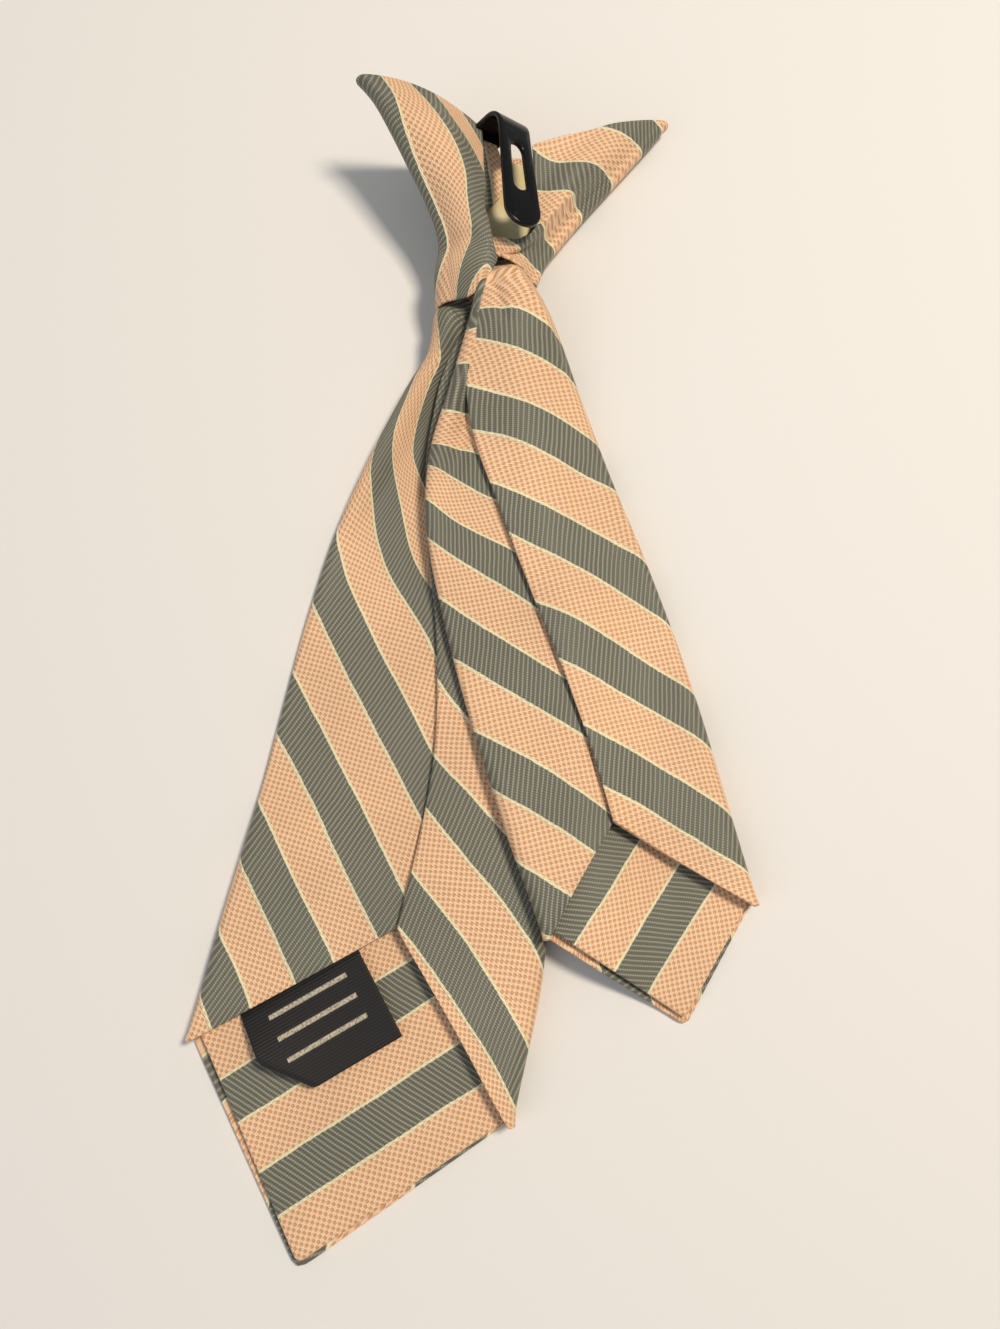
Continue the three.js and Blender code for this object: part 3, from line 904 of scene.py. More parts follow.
@dataclass
class Blade:
    """A folded blade: one cloth turned over at both sides, its right flap over its left one."""

    name: str
    neck: tuple[float, float]
    length: float
    width: float
    heading: float
    point_left: float
    point_right: float
    notch: float
    stations: tuple[Station, ...]
    left_readings: FlapReadings
    right_readings: FlapReadings
    facing_edges: tuple[StripeEdge, ...]
    turns: int
    bed: Callable[[float, float], float]
    left_creases: tuple[Crease, ...] = ()
    right_creases: tuple[Crease, ...] = ()
    wall: float = 1.0  # the frame's cloth, which sets the places
    cloth: float = 0.66
    hem: float = 1.12
    layer: float = 1.42
    knot_depth: float = 20.0
    lap: float = 7.0
    tail: float = 0.0
    tail_drop: float = 1.2
    facing_inset: tuple[float, float] = (1.0, 0.3)
    facing_tuck: float = 6.0
    fold_room: float = 1.15
    facing_ease: float = 14.0
    rows: int = 104
    strip: Strip = field(default_factory=Strip)

    def __post_init__(self) -> None:
        """Works out the blade's directions and its corners."""
        turn = math.radians(self.heading)
        self.along = Vector((math.sin(turn), math.cos(turn)))
        self.across = Vector((self.along.y, -self.along.x))
        self.tip = Vector(self.neck) - self.along * self.length
        low = self.stations[0].at * self.length
        self.corner_left = -self.left(low) / math.tan(math.radians(self.point_left))
        self.corner_right = self.right(low) / math.tan(math.radians(self.point_right))
        self.facing_end = self.notch + self.facing_tuck
        self.left_stripes = self.left_readings.stripes(
            lambda v: self.share("left", v) * self.width
        )
        self.right_stripes = self.right_readings.stripes(self.seam)
        places = [(edge.count, u, v) for edge in self.facing_edges for u, v in edge.places]
        self.facing_stripes = best_shares(
            [(1.0, u, v) for _, u, v in places], [count for count, _, _ in places]
        )

    def share(self, name: str, v: float) -> float:
        """A column of the blade's table at a height."""
        return read_rows(self.stations, name, v / self.length)

    def left(self, v: float) -> float:
        """The left edge's place across."""
        return self.share("left", v) * self.width + self.wall / 2

    def right(self, v: float) -> float:
        """The right edge's place across."""
        return self.share("right", v) * self.width - self.wall / 2

    def seam(self, v: float) -> float:
        """The place across of the right flap's free edge."""
        return self.share("seam", v) * self.width

    def under(self, v: float) -> float:
        """How high the left flap lies over the ply, with the facing between them near the point."""
        past = smooth((v - self.facing_end - self.facing_tuck / 2) / self.facing_ease)
        return self.layer * (2 - past)

    def roll(self, v: float) -> float:
        """The height of the left fold."""
        return max(self.share("roll", v) * self.knot_depth, self.under(v))

    def snug(self, r: float) -> float:
        """How far the folds bulge: little at the cut end, where they are pressed to a corner."""
        return mix(0.3, 1.0, smooth(r / 0.07))

    def puff(self, v: float) -> float:
        """The height of the right fold."""
        return max(self.share("puff", v) * self.knot_depth, self.under(v) + self.layer)

    def rise(self, v: float) -> float:
        """How far the blade climbs into the knot."""
        return max(self.share("rise", v), 0.0) * self.knot_depth

    def spread(self, u: float, v: float) -> tuple[float, float]:
        """The place of a point of the blade on the table."""
        place = self.tip + self.across * u + self.along * v
        return place.x, place.y

    def find(self, x: float, y: float) -> tuple[float, float]:
        """The place across and along the blade of a point on the table."""
        away = Vector((x, y)) - self.tip
        return away.dot(self.across), away.dot(self.along)

    def lower(self, u: float, v: float) -> float:
        """The height of the middle of the lower ply."""
        return self.wall / 2 + self.bed(*self.spread(u, v)) + self.rise(v)

    def steep(self, u: float, v: float) -> float:
        """How much further apart two layers are, upright, on a sloping bed."""
        x, y = self.spread(u, v)
        here = self.bed(x, y)
        return math.hypot(
            1.0,
            (self.bed(x + self.wall, y) - here) / self.wall,
            (self.bed(x, y + self.wall) - here) / self.wall,
        )

    def ply_weave(self, u: float, v: float) -> tuple[float, float]:
        """The weave on the lower ply, where both flaps' stripes run on round the folds."""
        left, right = self.left(v), self.right(v)
        t = min(max((u - left) / (right - left), 0.0), 1.0)
        start = self.left_stripes.weave(0.0, 2 * left - u, v)
        end = self.right_stripes.weave(right - self.seam(v), 2 * right - u, v)
        return mix(start[0], end[0] + self.turns, t), mix(start[1], end[1], t)

    def spot(self, column: tuple[Part, float], r: float) -> Spot:
        """A point of the folded cloth.

        Args:
            column: The part of the strip and the share of the way across it.
            r: The share of the way from the cut end to the neck.

        Returns:
            The point.
        """
        part, f = column
        up = min(r, 1.0)
        at_left = mix(self.corner_left, self.length, up)
        at_right = mix(self.corner_right, self.length, up)
        at_seam = mix(self.notch, self.length, up)
        snug = self.snug(up)
        if part is Part.LEFT_FLAP:
            room = self.right(at_seam) - self.puff(at_seam) - self.seam(at_seam)
            lap = min(self.lap, room / 2)
            lapped = min(1 + lap / (self.seam(at_seam) - self.left(at_seam)), 1.8)
            f = f**1.3
            v = min(mix(at_left, at_seam, f * lapped), self.length)
            left, roll = self.left(v), self.roll(v)
            start = left + roll / 2 * snug
            u = mix(start, self.seam(v) + lap, f)
            down = smooth((u - start) / (roll + 1))
            base = mix(self.lower(left, v), self.lower(u, v), down)
            z = base + mix(roll, self.under(v), down) * self.steep(u, v)
            weave = self.left_stripes.weave(u - left, u, v)
            return self.cloth_spot(u, v, z, weave, r, self.left_creases)
        if part is Part.RIGHT_FLAP:
            v = mix(at_right, at_seam, f)
            right, puff = self.right(v), self.puff(v)
            start = right - puff / 2 * snug
            u = mix(start, self.seam(v), f)
            down = smooth((start - u) / (puff + 1))
            over = self.under(v) + self.layer
            z = self.lower(u, v) + mix(puff, over, down) * self.steep(u, v)
            across, along = self.right_stripes.weave(u - self.seam(v), u, v)
            weave = (across + self.turns, along)
            return self.cloth_spot(u, v, z, weave, r, self.right_creases)
        if part is Part.LEFT_FOLD:
            left, roll = self.left(at_left), self.roll(at_left)
            radius, turn = roll / 2, f * math.pi
            u = left + (radius - math.sin(turn) * radius) * snug
            z = self.lower(left, at_left) + radius + math.cos(turn) * radius
            top = self.left_stripes.weave(u - left, u, at_left)
            foot = self.ply_weave(left + radius * snug, at_left)
            weave = (mix(top[0], foot[0], smooth(f)), mix(top[1], foot[1], smooth(f)))
            return self.cloth_spot(u, at_left, z, weave, r, self.left_creases, 1 - f)
        if part is Part.RIGHT_FOLD:
            right, puff = self.right(at_right), self.puff(at_right)
            radius, turn = puff / 2, f * math.pi
            u = right - (radius - math.sin(turn) * radius) * snug
            z = self.lower(right, at_right) + radius - math.cos(turn) * radius
            top = self.right_stripes.weave(u - self.seam(at_right), u, at_right)
            foot = self.ply_weave(right - radius * snug, at_right)
            weave = (
                mix(foot[0], top[0] + self.turns, smooth(f)),
                mix(foot[1], top[1], smooth(f)),
            )
            return self.cloth_spot(u, at_right, z, weave, r, self.right_creases, f)
        side = 2 * f - 1
        reach_share = abs(side)
        v = mix(mix(0.0, self.length, up), at_left if side < 0 else at_right, reach_share)
        if side < 0:
            edge = self.left(v) + self.roll(v) / 2 * snug
            inner = self.left(at_left) + self.roll(at_left) / 2 * snug
        else:
            edge = self.right(v) - self.puff(v) / 2 * snug
            inner = self.right(at_right) - self.puff(at_right) / 2 * snug
        reach = inner if v < max(self.corner_left, self.corner_right) else edge
        u = reach * reach_share
        return self.cloth_spot(u, v, self.lower(u, v), self.ply_weave(u, v), r)

    def cloth_spot(
        self,
        u: float,
        v: float,
        z: float,
        weave: tuple[float, float],
        r: float,
        creases: tuple[Crease, ...] = (),
        crease_share: float = 1.0,
    ) -> Spot:
        """Puts a point of the blade on the table, with its creases and the cloth's unevenness.

        Args:
            u: The point's place across the blade.
            v: Its place along the blade.
            z: Its height.
            weave: Its place on the weave map.
            r: The share of the way from the cut end to the neck; past 1 it is in the tail.
            creases: The creases of the part that it is on.
            crease_share: How much of them it takes.

        Returns:
            The point.
        """
        past = max(r - 1, 0.0) * self.length
        x, y = self.spread(u, v + past)
        over = smooth((z - self.lower(u, v)) / (2 * self.layer))
        lift = sum(crease.height(x, y) for crease in creases) * crease_share
        edge = 1 - smooth(r / 0.012)
        place = Vector((x, y, z + over * waver(x, y) + lift - past * self.tail_drop))
        run_on = past / REPEAT
        return Spot(place, (weave[0] - 0.7 * run_on, weave[1] - 0.7 * run_on), edge)

    def facing_spot(self, f: float, r: float) -> Spot:
        """A point of the facing: f from its left to its right, r from the point's edge inwards."""
        side = 2 * f - 1
        reach_share = abs(side)
        point = math.radians(self.point_left if side < 0 else self.point_right)
        inset = self.facing_inset[0 if side < 0 else 1] / math.sin(point)
        corner = (self.corner_left if side < 0 else self.corner_right) + inset
        v = mix(mix(sum(self.facing_inset), corner, reach_share), self.facing_end, r)
        at = max(v, corner)
        fold = self.left(at) + self.fold_room if side < 0 else self.right(at) - self.fold_room
        u = fold * reach_share
        x, y = self.spread(u, v)
        run, lean, climb = self.facing_stripes
        size = math.hypot(lean, climb)
        weave = (
            run + lean * u + climb * v,
            (v * lean - u * climb) / size / REPEAT,
        )
        edge = 1 - smooth(r / 0.03)
        z = self.lower(u, v) + self.layer * self.steep(u, v) + 0.3 * waver(x, y)
        return Spot(Vector((x, y, z)), weave, edge)

    def build(
        self, material: bpy.types.Material, cut: tuple[float, float], area: float
    ) -> bpy.types.Object:
        """Makes the folded cloth.

        Args:
            material: Its finish.
            cut: The width and length it was cut to, in mm; not used.
            area: Its flat area, in square mm; not used.

        Returns:
            The piece.
        """
        close = [0.0, 0.003, 0.007, 0.013]
        rows = [*close, *[mix(0.022, 1.0, j / self.rows) for j in range(self.rows + 1)]]
        if self.tail:
            rows += [1 + self.tail / self.length * i / 4 for i in range(1, 5)]
        piece = shaped_cloth(
            f"{self.name}_cloth",
            self.strip.columns(),
            rows,
            self.spot,
            self.hem,
            self.cloth / self.hem,
            material,
        )
        stand_in(piece, self.name)
        return piece

    def build_facing(
        self, material: bpy.types.Material, name: str, cut: tuple[float, float], area: float
    ) -> bpy.types.Object:
        """Makes the facing in the blade's point.

        Args:
            material: Its finish.
            name: The CAD node that it stands for.
            cut: The width and length it was cut to, in mm; not used.
            area: Its flat area, in square mm; not used.

        Returns:
            The piece.
        """
        piece = shaped_cloth(
            f"{name}_cloth",
            [i / 40 for i in range(41)],
            [j / 30 for j in range(31)],
            self.facing_spot,
            0.85,
            0.75,
            material,
        )
        stand_in(piece, name)
        return piece


@dataclass
class Label:
    """The woven label, sewn in along the left flap's edge, with its free corner curling up."""

    blade: Blade
    width: float = 21.0
    length: float = 16.0
    place: float = 0.22
    curl: float = 2.9
    tuck: float = 1.0
    folded: float = 5.2
    fold_round: float = 0.8
    fold_turn: float = math.radians(38)
    tape: float = 0.28
    free_layers: float = 1.48
    sewn_layers: float = 2.05
    steps: int = 36

    def spot(self, a: float, b: float) -> Spot:
        """A point of the label: a along the sewn edge, b from the free end up to that edge."""
        low, notch = self.blade.corner_left, self.blade.notch
        start = Vector(
            self.blade.spread(self.blade.left(low) + self.blade.roll(low) / 2, low)
        )
        edge = Vector(self.blade.spread(self.blade.seam(notch), notch)) - start
        start = start + edge * self.place
        edge.normalize()
        loose = 1 - b
        flat = Vector((self.width * a, self.length * loose))
        corner = Vector((0.0, self.length))
        fold = Vector((math.cos(self.fold_turn), -math.sin(self.fold_turn)))
        from_corner = (flat - corner).dot(fold)
        bent, sunk = from_corner, 0.0
        if from_corner < self.folded:
            turn = min((self.folded - from_corner) / self.fold_round, math.pi)
            rest = self.folded - from_corner - turn * self.fold_round
            bent = self.folded - self.fold_round * math.sin(turn) + rest
            sunk = self.fold_round * (1 - math.cos(turn))
        laid = flat + fold * (bent - from_corner)
        down = laid.y - self.tuck
        x = start.x + laid.x * edge.x + down * edge.y
        y = start.y + laid.x * edge.y - down * edge.x
        free = max(1 - laid.x / self.width, 0.0) ** 2 * smooth(1.5 * laid.y / self.length)
        u, v = self.blade.find(x, y)
        ripple = 0.12 * math.sin(TURN * (0.6 * a + 0.9 * loose)) * loose
        held = smooth((down + self.tuck) / (2.2 * self.tuck))
        layers = mix(self.free_layers, self.sewn_layers, held) * self.blade.layer
        z = self.blade.lower(u, v) + layers + self.curl * free + ripple - sunk
        return Spot(Vector((x, y, z)), (flat.x, flat.y))

    def build(self, material: bpy.types.Material) -> bpy.types.Object:
        """Makes the label."""
        shares = [i / self.steps for i in range(self.steps + 1)]
        piece = shaped_cloth(
            "care_label_tape", shares, shares, self.spot, self.tape, 1.0, material
        )
        stand_in(piece, "care_label")
        return piece


# Knot


@dataclass(frozen=True)
class KnotRow:
    """A row of the knot's table, from its mouth to its top, in shares of the knot's sizes.

    l and r are the loops at the wings' edges, and a and b the free edges of the two flaps.
    The mouth is how much wider the left loop is, and the sag how far the right flap hangs.
    """

    at: float
    lx: float
    ly: float
    lz: float
    rx: float
    ry: float
    rz: float
    ax: float
    ay: float
    az: float
    bx: float
    by: float
    bz: float
    swell_a: float
    swell_b: float
    floor: float
    loop: float
    mouth: float = 0.0
    sag: float = 0.0


@dataclass(frozen=True)
class WingStripes:
    """A row of a wing's stripe table: the repeats at its loop, and how they run to its free edge."""

    at: float
    run: float
    lean: float
    bend: float
    curl: float


@dataclass
class Knot:
    """The ready-made knot: one cloth looped into two wings round a former, open at the back."""

    table: tuple[KnotRow, ...]
    left_edges: tuple[StripeEdge, ...]
    right_edges: tuple[StripeEdge, ...]
    left_creases: tuple[Crease, ...] = ()
    right_creases: tuple[Crease, ...] = ()
    turns: int = 2
    grain: tuple[float, float] = (-0.88, 0.47)
    wing_middle: tuple[float, float] = (16.0, 84.0)
    wing_reach: float = 16.0
    wing_heights: tuple[float, ...] = (0.0, 0.2, 0.4, 0.6, 0.8, 1.0)
    wing_stiffness: float = 0.06
    wing_hold: float = 0.03
    square_hold: float = 0.05
    cube_hold: float = 0.12
    width: float = 56.0
    height: float = 41.0
    depth: float = 20.0
    foot: float = 62.0
    flank: float = 5.0
    dip: float = 0.1
    wall: float = 1.0
    cloth: float = 0.62
    hem: float = 0.9
    rows: int = 60
    strip: Strip = field(default_factory=lambda: Strip(flap=22, fold=7, ply=30))

    def share(self, name: str, at: float) -> float:
        """A column of the knot's table, in mm of the size it is a share of."""
        sizes = {"x": self.width, "y": self.height}
        scale = sizes.get(name[-1], self.depth) if len(name) == 2 else self.depth
        return read_rows(self.table, name, at) * scale

    def __post_init__(self) -> None:
        """Works out the stripes of both wings from their edges."""
        self.left_stripes = self.solve_left()
        self.right_stripes = self.solve_right()

    def solve_left(self) -> tuple[WingStripes, ...]:
        """The left wing's stripes: a cubic across it at each height, smooth from row to row.

        The places on its edges are shares: of the knot's height, and of the way across the wing.
        """
        count = len(self.wing_heights)
        terms: list[list[float]] = []
        wanted: list[float] = []
        for edge in self.left_edges:
            for at, f in edge.places:
                shares = row_shares(self.wing_heights, at)
                terms.append([share * f**power for power in range(4) for share in shares])
                wanted.append(edge.count)
        stiff = self.wing_stiffness
        for power in range(4):
            for k in range(1, count - 1):
                here = power * count + k
                bend = {here - 1: stiff, here: -2 * stiff, here + 1: stiff}
                terms.append(single(4 * count, bend))
                wanted.append(0.0)
        for place in range(2 * count, 4 * count):
            terms.append(single(4 * count, {place: self.wing_hold}))
            wanted.append(0.0)
        found = best_shares(terms, wanted)
        return tuple(
            WingStripes(height, *(found[power * count + k] for power in range(4)))
            for k, height in enumerate(self.wing_heights)
        )

    def wing_powers(self, x: float, y: float) -> tuple[float, ...]:
        """The ten powers of a place, from the right wing's middle, that make up a cubic."""
        x = (x - self.wing_middle[0]) / self.wing_reach
        y = (y - self.wing_middle[1]) / self.wing_reach
        return (1, x, y, x * x, x * y, y * y, x**3, x * x * y, x * y * y, y**3)

    def solve_right(self) -> list[float]:
        """The right wing's stripes, as the shares of the powers that come close to its edges."""
        terms: list[list[float]] = []
        wanted: list[float] = []
        for edge in self.right_edges:
            for x, y in edge.places:
                terms.append([power * edge.trust for power in self.wing_powers(x, y)])
                wanted.append(edge.count * edge.trust)
        holds = [*range(3, 6)], [*range(6, 10)]
        for places, hold in zip(holds, (self.square_hold, self.cube_hold)):
            for place in places:
                terms.append(single(10, {place: hold}))
                wanted.append(0.0)
        return best_shares(terms, wanted)

    def wing_weave(self, rows: tuple[WingStripes, ...], f: float, at: float) -> float:
        """The repeats on a wing, f from its loop to its free edge."""
        run, lean, bend, curl = (
            read_rows(rows, name, at) for name in ("run", "lean", "bend", "curl")
        )
        return run + f * (lean + f * (bend + f * curl))

    def right_across(self, x: float, y: float) -> float:
        """The repeats on the right wing at a place, as a cubic about the wing's middle."""
        powers = self.wing_powers(x, y)
        return sum(share * power for share, power in zip(self.right_stripes, powers))

    def place(self, x: float, y: float, z: float) -> Vector:
        """A place in the knot, in the maker's frame."""
        return Vector((x, self.foot + y, z))

    def spot(self, column: tuple[Part, float], at: float) -> Spot:
        """A point of the knot's cloth.

        Args:
            column: The part of the strip and the share of the way across it.
            at: The share of the way from the mouth to the top.

        Returns:
            The point.
        """
        part, f = column
        radius = self.share("loop", at) / 2
        wide = radius + self.share("mouth", at) / 2
        floor = self.wall / 2 + max(self.share("floor", at), 0.0)
        lx, ly, lz = (self.share(name, at) for name in ("lx", "ly", "lz"))
        rx, ry, rz = (self.share(name, at) for name in ("rx", "ry", "rz"))
        edge = smooth((at - 0.97) / 0.03)
        if part is Part.LEFT_FLAP:
            ax, ay, az = (self.share(name, at) for name in ("ax", "ay", "az"))
            swell = self.share("swell_a", at) * 4 * f * (1 - f)
            place = self.place(
                mix(lx + wide, ax, f),
                mix(ly, ay, f**2.5),
                mix(lz + wide, az, f) + swell,
            )
            across = self.wing_weave(self.left_stripes, f, at)
            return self.wing_spot(place, across, Part.LEFT_FLAP, 1.0, edge)
        if part is Part.RIGHT_FLAP:
            bx, by, bz = (self.share(name, at) for name in ("bx", "by", "bz"))
            swell = self.share("swell_b", at) * 4 * f * (1 - f)
            sag = self.share("sag", at) * SAG_PEAK * f * f * (1 - f)
            place = self.place(
                mix(rx - radius, bx, f),
                mix(ry, by, f**1.2) - sag,
                mix(rz + radius, bz, f) + swell,
            )
            across = self.right_across(place.x, place.y)
            return self.wing_spot(place, across, Part.RIGHT_FLAP, 1.0, edge)
        if part is Part.LEFT_FOLD:
            turn = f * math.pi
            place = self.place(
                lx + wide - math.sin(turn) * wide, ly, lz + math.cos(turn) * wide
            )
            across = self.wing_weave(self.left_stripes, 0, at) - wide * turn / REPEAT
            return self.wing_spot(place, across, Part.LEFT_FLAP, 1 - f, edge)
        if part is Part.RIGHT_FOLD:
            turn = f * math.pi
            place = self.place(
                rx - radius + math.sin(turn) * radius, ry, rz - math.cos(turn) * radius
            )
            across = self.right_across(rx - radius, self.foot + ry)
            across += 0.5 * radius * (math.pi - turn) / REPEAT
            return self.wing_spot(place, across, Part.RIGHT_FLAP, f, edge)
        from_left = (lz - wide - floor) * (1 - f) ** self.flank
        from_right = (rz - radius - floor) * f**self.flank
        dip = self.dip * self.height * at * 4 * f * (1 - f)
        place = self.place(
            mix(lx + wide, rx - radius, f),
            mix(ly, ry, f) - dip,
            floor + from_left + from_right,
        )
        start = self.wing_weave(self.left_stripes, 0, at) - wide * math.pi / REPEAT
        end = self.right_across(rx - radius, self.foot + ry)
        end += 0.5 * radius * math.pi / REPEAT
        begun, ended = place.y, self.grain[0] * place.x + self.grain[1] * place.y
        weave = (mix(start, end - self.turns, f), mix(begun, ended, f) / REPEAT)
        return Spot(place, weave, edge)

    def wing_spot(
        self, place: Vector, across: float, wing: Part, crease_share: float, edge: float
    ) -> Spot:
        """Finishes a point of a wing or its loop with the wing's creases and weave.

        Args:
            place: The point's place in the maker's frame.
            across: The repeats of the stripes there.
            wing: The flap that the wing belongs to.
            crease_share: How much of the wing's creases it takes.
            edge: How turned the cloth's edge is there.

        Returns:
            The point.
        """
        left = wing is Part.LEFT_FLAP
        creases = self.left_creases if left else self.right_creases
        lift = sum(crease.height(place.x, place.y) for crease in creases)
        place.z += (lift + 0.5 * waver(place.x, place.y)) * crease_share
        along = place.y if left else self.grain[0] * place.x + self.grain[1] * place.y
        turns = 0 if left else -self.turns
        return Spot(place, (across + turns, along / REPEAT), edge)

    def build(
        self, material: bpy.types.Material, cut: tuple[float, float], area: float
    ) -> bpy.types.Object:
        """Makes the knot's cloth.

        Args:
            material: Its finish.
            cut: The width and length it was cut to, in mm; not used.
            area: Its flat area, in square mm; not used.

        Returns:
            The piece.
        """
        piece = shaped_cloth(
            "knot_wrap_cloth",
            self.strip.columns(),
            [j / self.rows for j in range(self.rows + 1)],
            self.spot,
            self.hem,
            self.cloth / self.hem,
            material,
        )
        stand_in(piece, "knot_wrap")
        return piece


@dataclass
class Tuck:
    """The turned-in end of the knot's cloth, between its left wing and the former's back."""

    left: float = -5.4
    right: tuple[tuple[float, float], ...] = (
        (79.0, -2.2),
        (80.6, -0.9),
        (82.5, 0.2),
        (85.5, 0.5),
        (89.0, 0.3),
        (92.2, -0.6),
    )
    former_x: float = 1.12
    former_z: float = 9.6
    former_tilt: float = math.radians(20)
    clear: float = 0.75
    cloth: float = 0.6
    steps: int = 20

    def spot(self, f: float, r: float) -> Spot:
        """A point of the tuck: f from under the wing to its free edge, r from its foot up."""
        low, high = self.right[0][0], self.right[-1][0]
        y = mix(low, high, r)
        k = next(i for i, (level, _) in enumerate(self.right) if level >= y or i == 5)
        (y0, x0), (y1, x1) = self.right[max(k - 1, 0)], self.right[max(k, 1)]
        edge = mix(x0, x1, smooth((y - y0) / (y1 - y0)))
        x = mix(self.left, edge, f)
        back = self.former_z - (x - self.former_x) * math.tan(self.former_tilt)
        z = back + self.clear + 0.45 * math.sin(math.pi * f)
        across = 0.48 + (x + 1.5 + 0.13 * (y - 84)) / REPEAT
        return Spot(Vector((x, y, z)), (across, y / REPEAT), smooth((f - 0.9) / 0.1))

    def build(
        self, material: bpy.types.Material, cut: tuple[float, float], area: float
    ) -> bpy.types.Object:
        """Makes the tuck.

        Args:
            material: Its finish.
            cut: The width and length it was cut to, in mm; not used.
            area: Its flat area, in square mm; not used.

        Returns:
            The piece.
        """
        shares = [i / self.steps for i in range(self.steps + 1)]
        piece = shaped_cloth(
            "knot_tuck_cloth", shares, shares, self.spot, self.cloth, 0.8, material
        )
        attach(piece, BODY)
        LOG.info("%s: %d faces", piece.name, len(piece.data.polygons))
        return piece


@dataclass
class Former:
    """The moulded plate inside the knot, wide at the top and rounded at the bottom."""

    centre: tuple[float, float, float]
    roll: float = 20.0
    thick: float = 1.3
    top: float = 19.0
    foot: float = 9.0
    height: float = 16.4
    corner: float = 3.0
    segments: int = 48

    def outline(self, turn: float) -> Vector:
        """The plate's edge at an angle, on a rounded shape between its top and foot widths."""
        c, s = math.cos(turn), math.sin(turn)
        power = 0.55 if s > 0 else 0.85
        y = -self.height / 2 + math.copysign(abs(s) ** power, s) * self.height / 2
        half = mix(self.foot, self.top, smooth(1 + y / self.height)) / 2
        return Vector((math.copysign(abs(c) ** 0.6, c) * half, y, 0.0))

    def build(self, material: bpy.types.Material) -> bpy.types.Object:
        """Makes the plate from a capped ring that is drawn to its outline and extruded."""
        mesh = bpy.data.meshes.new("knot_former_plate")
        piece = bpy.data.objects.new("knot_former_plate", mesh)
        bpy.context.scene.collection.objects.link(piece)
        bm = bmesh.new()
        ring = bmesh.ops.create_circle(bm, cap_ends=True, segments=self.segments, radius=1.0)
        for vert in ring["verts"]:
            vert.co = self.outline(math.atan2(vert.co.y, vert.co.x))
        lifted = bmesh.ops.extrude_face_region(bm, geom=list(bm.faces))
        for item in lifted["geom"]:
            if isinstance(item, bmesh.types.BMVert):
                item.co.z -= self.thick
        bmesh.ops.recalc_face_normals(bm, faces=bm.faces)
        rims = [e for e in bm.edges if abs(e.calc_face_angle(0.0)) > 1.0]
        bmesh.ops.bevel(
            bm,
            geom=rims,
            offset=0.4,
            segments=3,
            affect="EDGES",
            profile=0.5,
            material=-1,
        )
        turn = Matrix.Rotation(math.radians(self.roll), 4, "Y")
        for vert in bm.verts:
            vert.co = to_row(turn @ vert.co + Vector(self.centre))
        for face in bm.faces:
            face.smooth = True
        bm.to_mesh(mesh)
        bm.free()
        mesh.materials.append(material)
        stand_in(piece, "knot_former")
        return piece


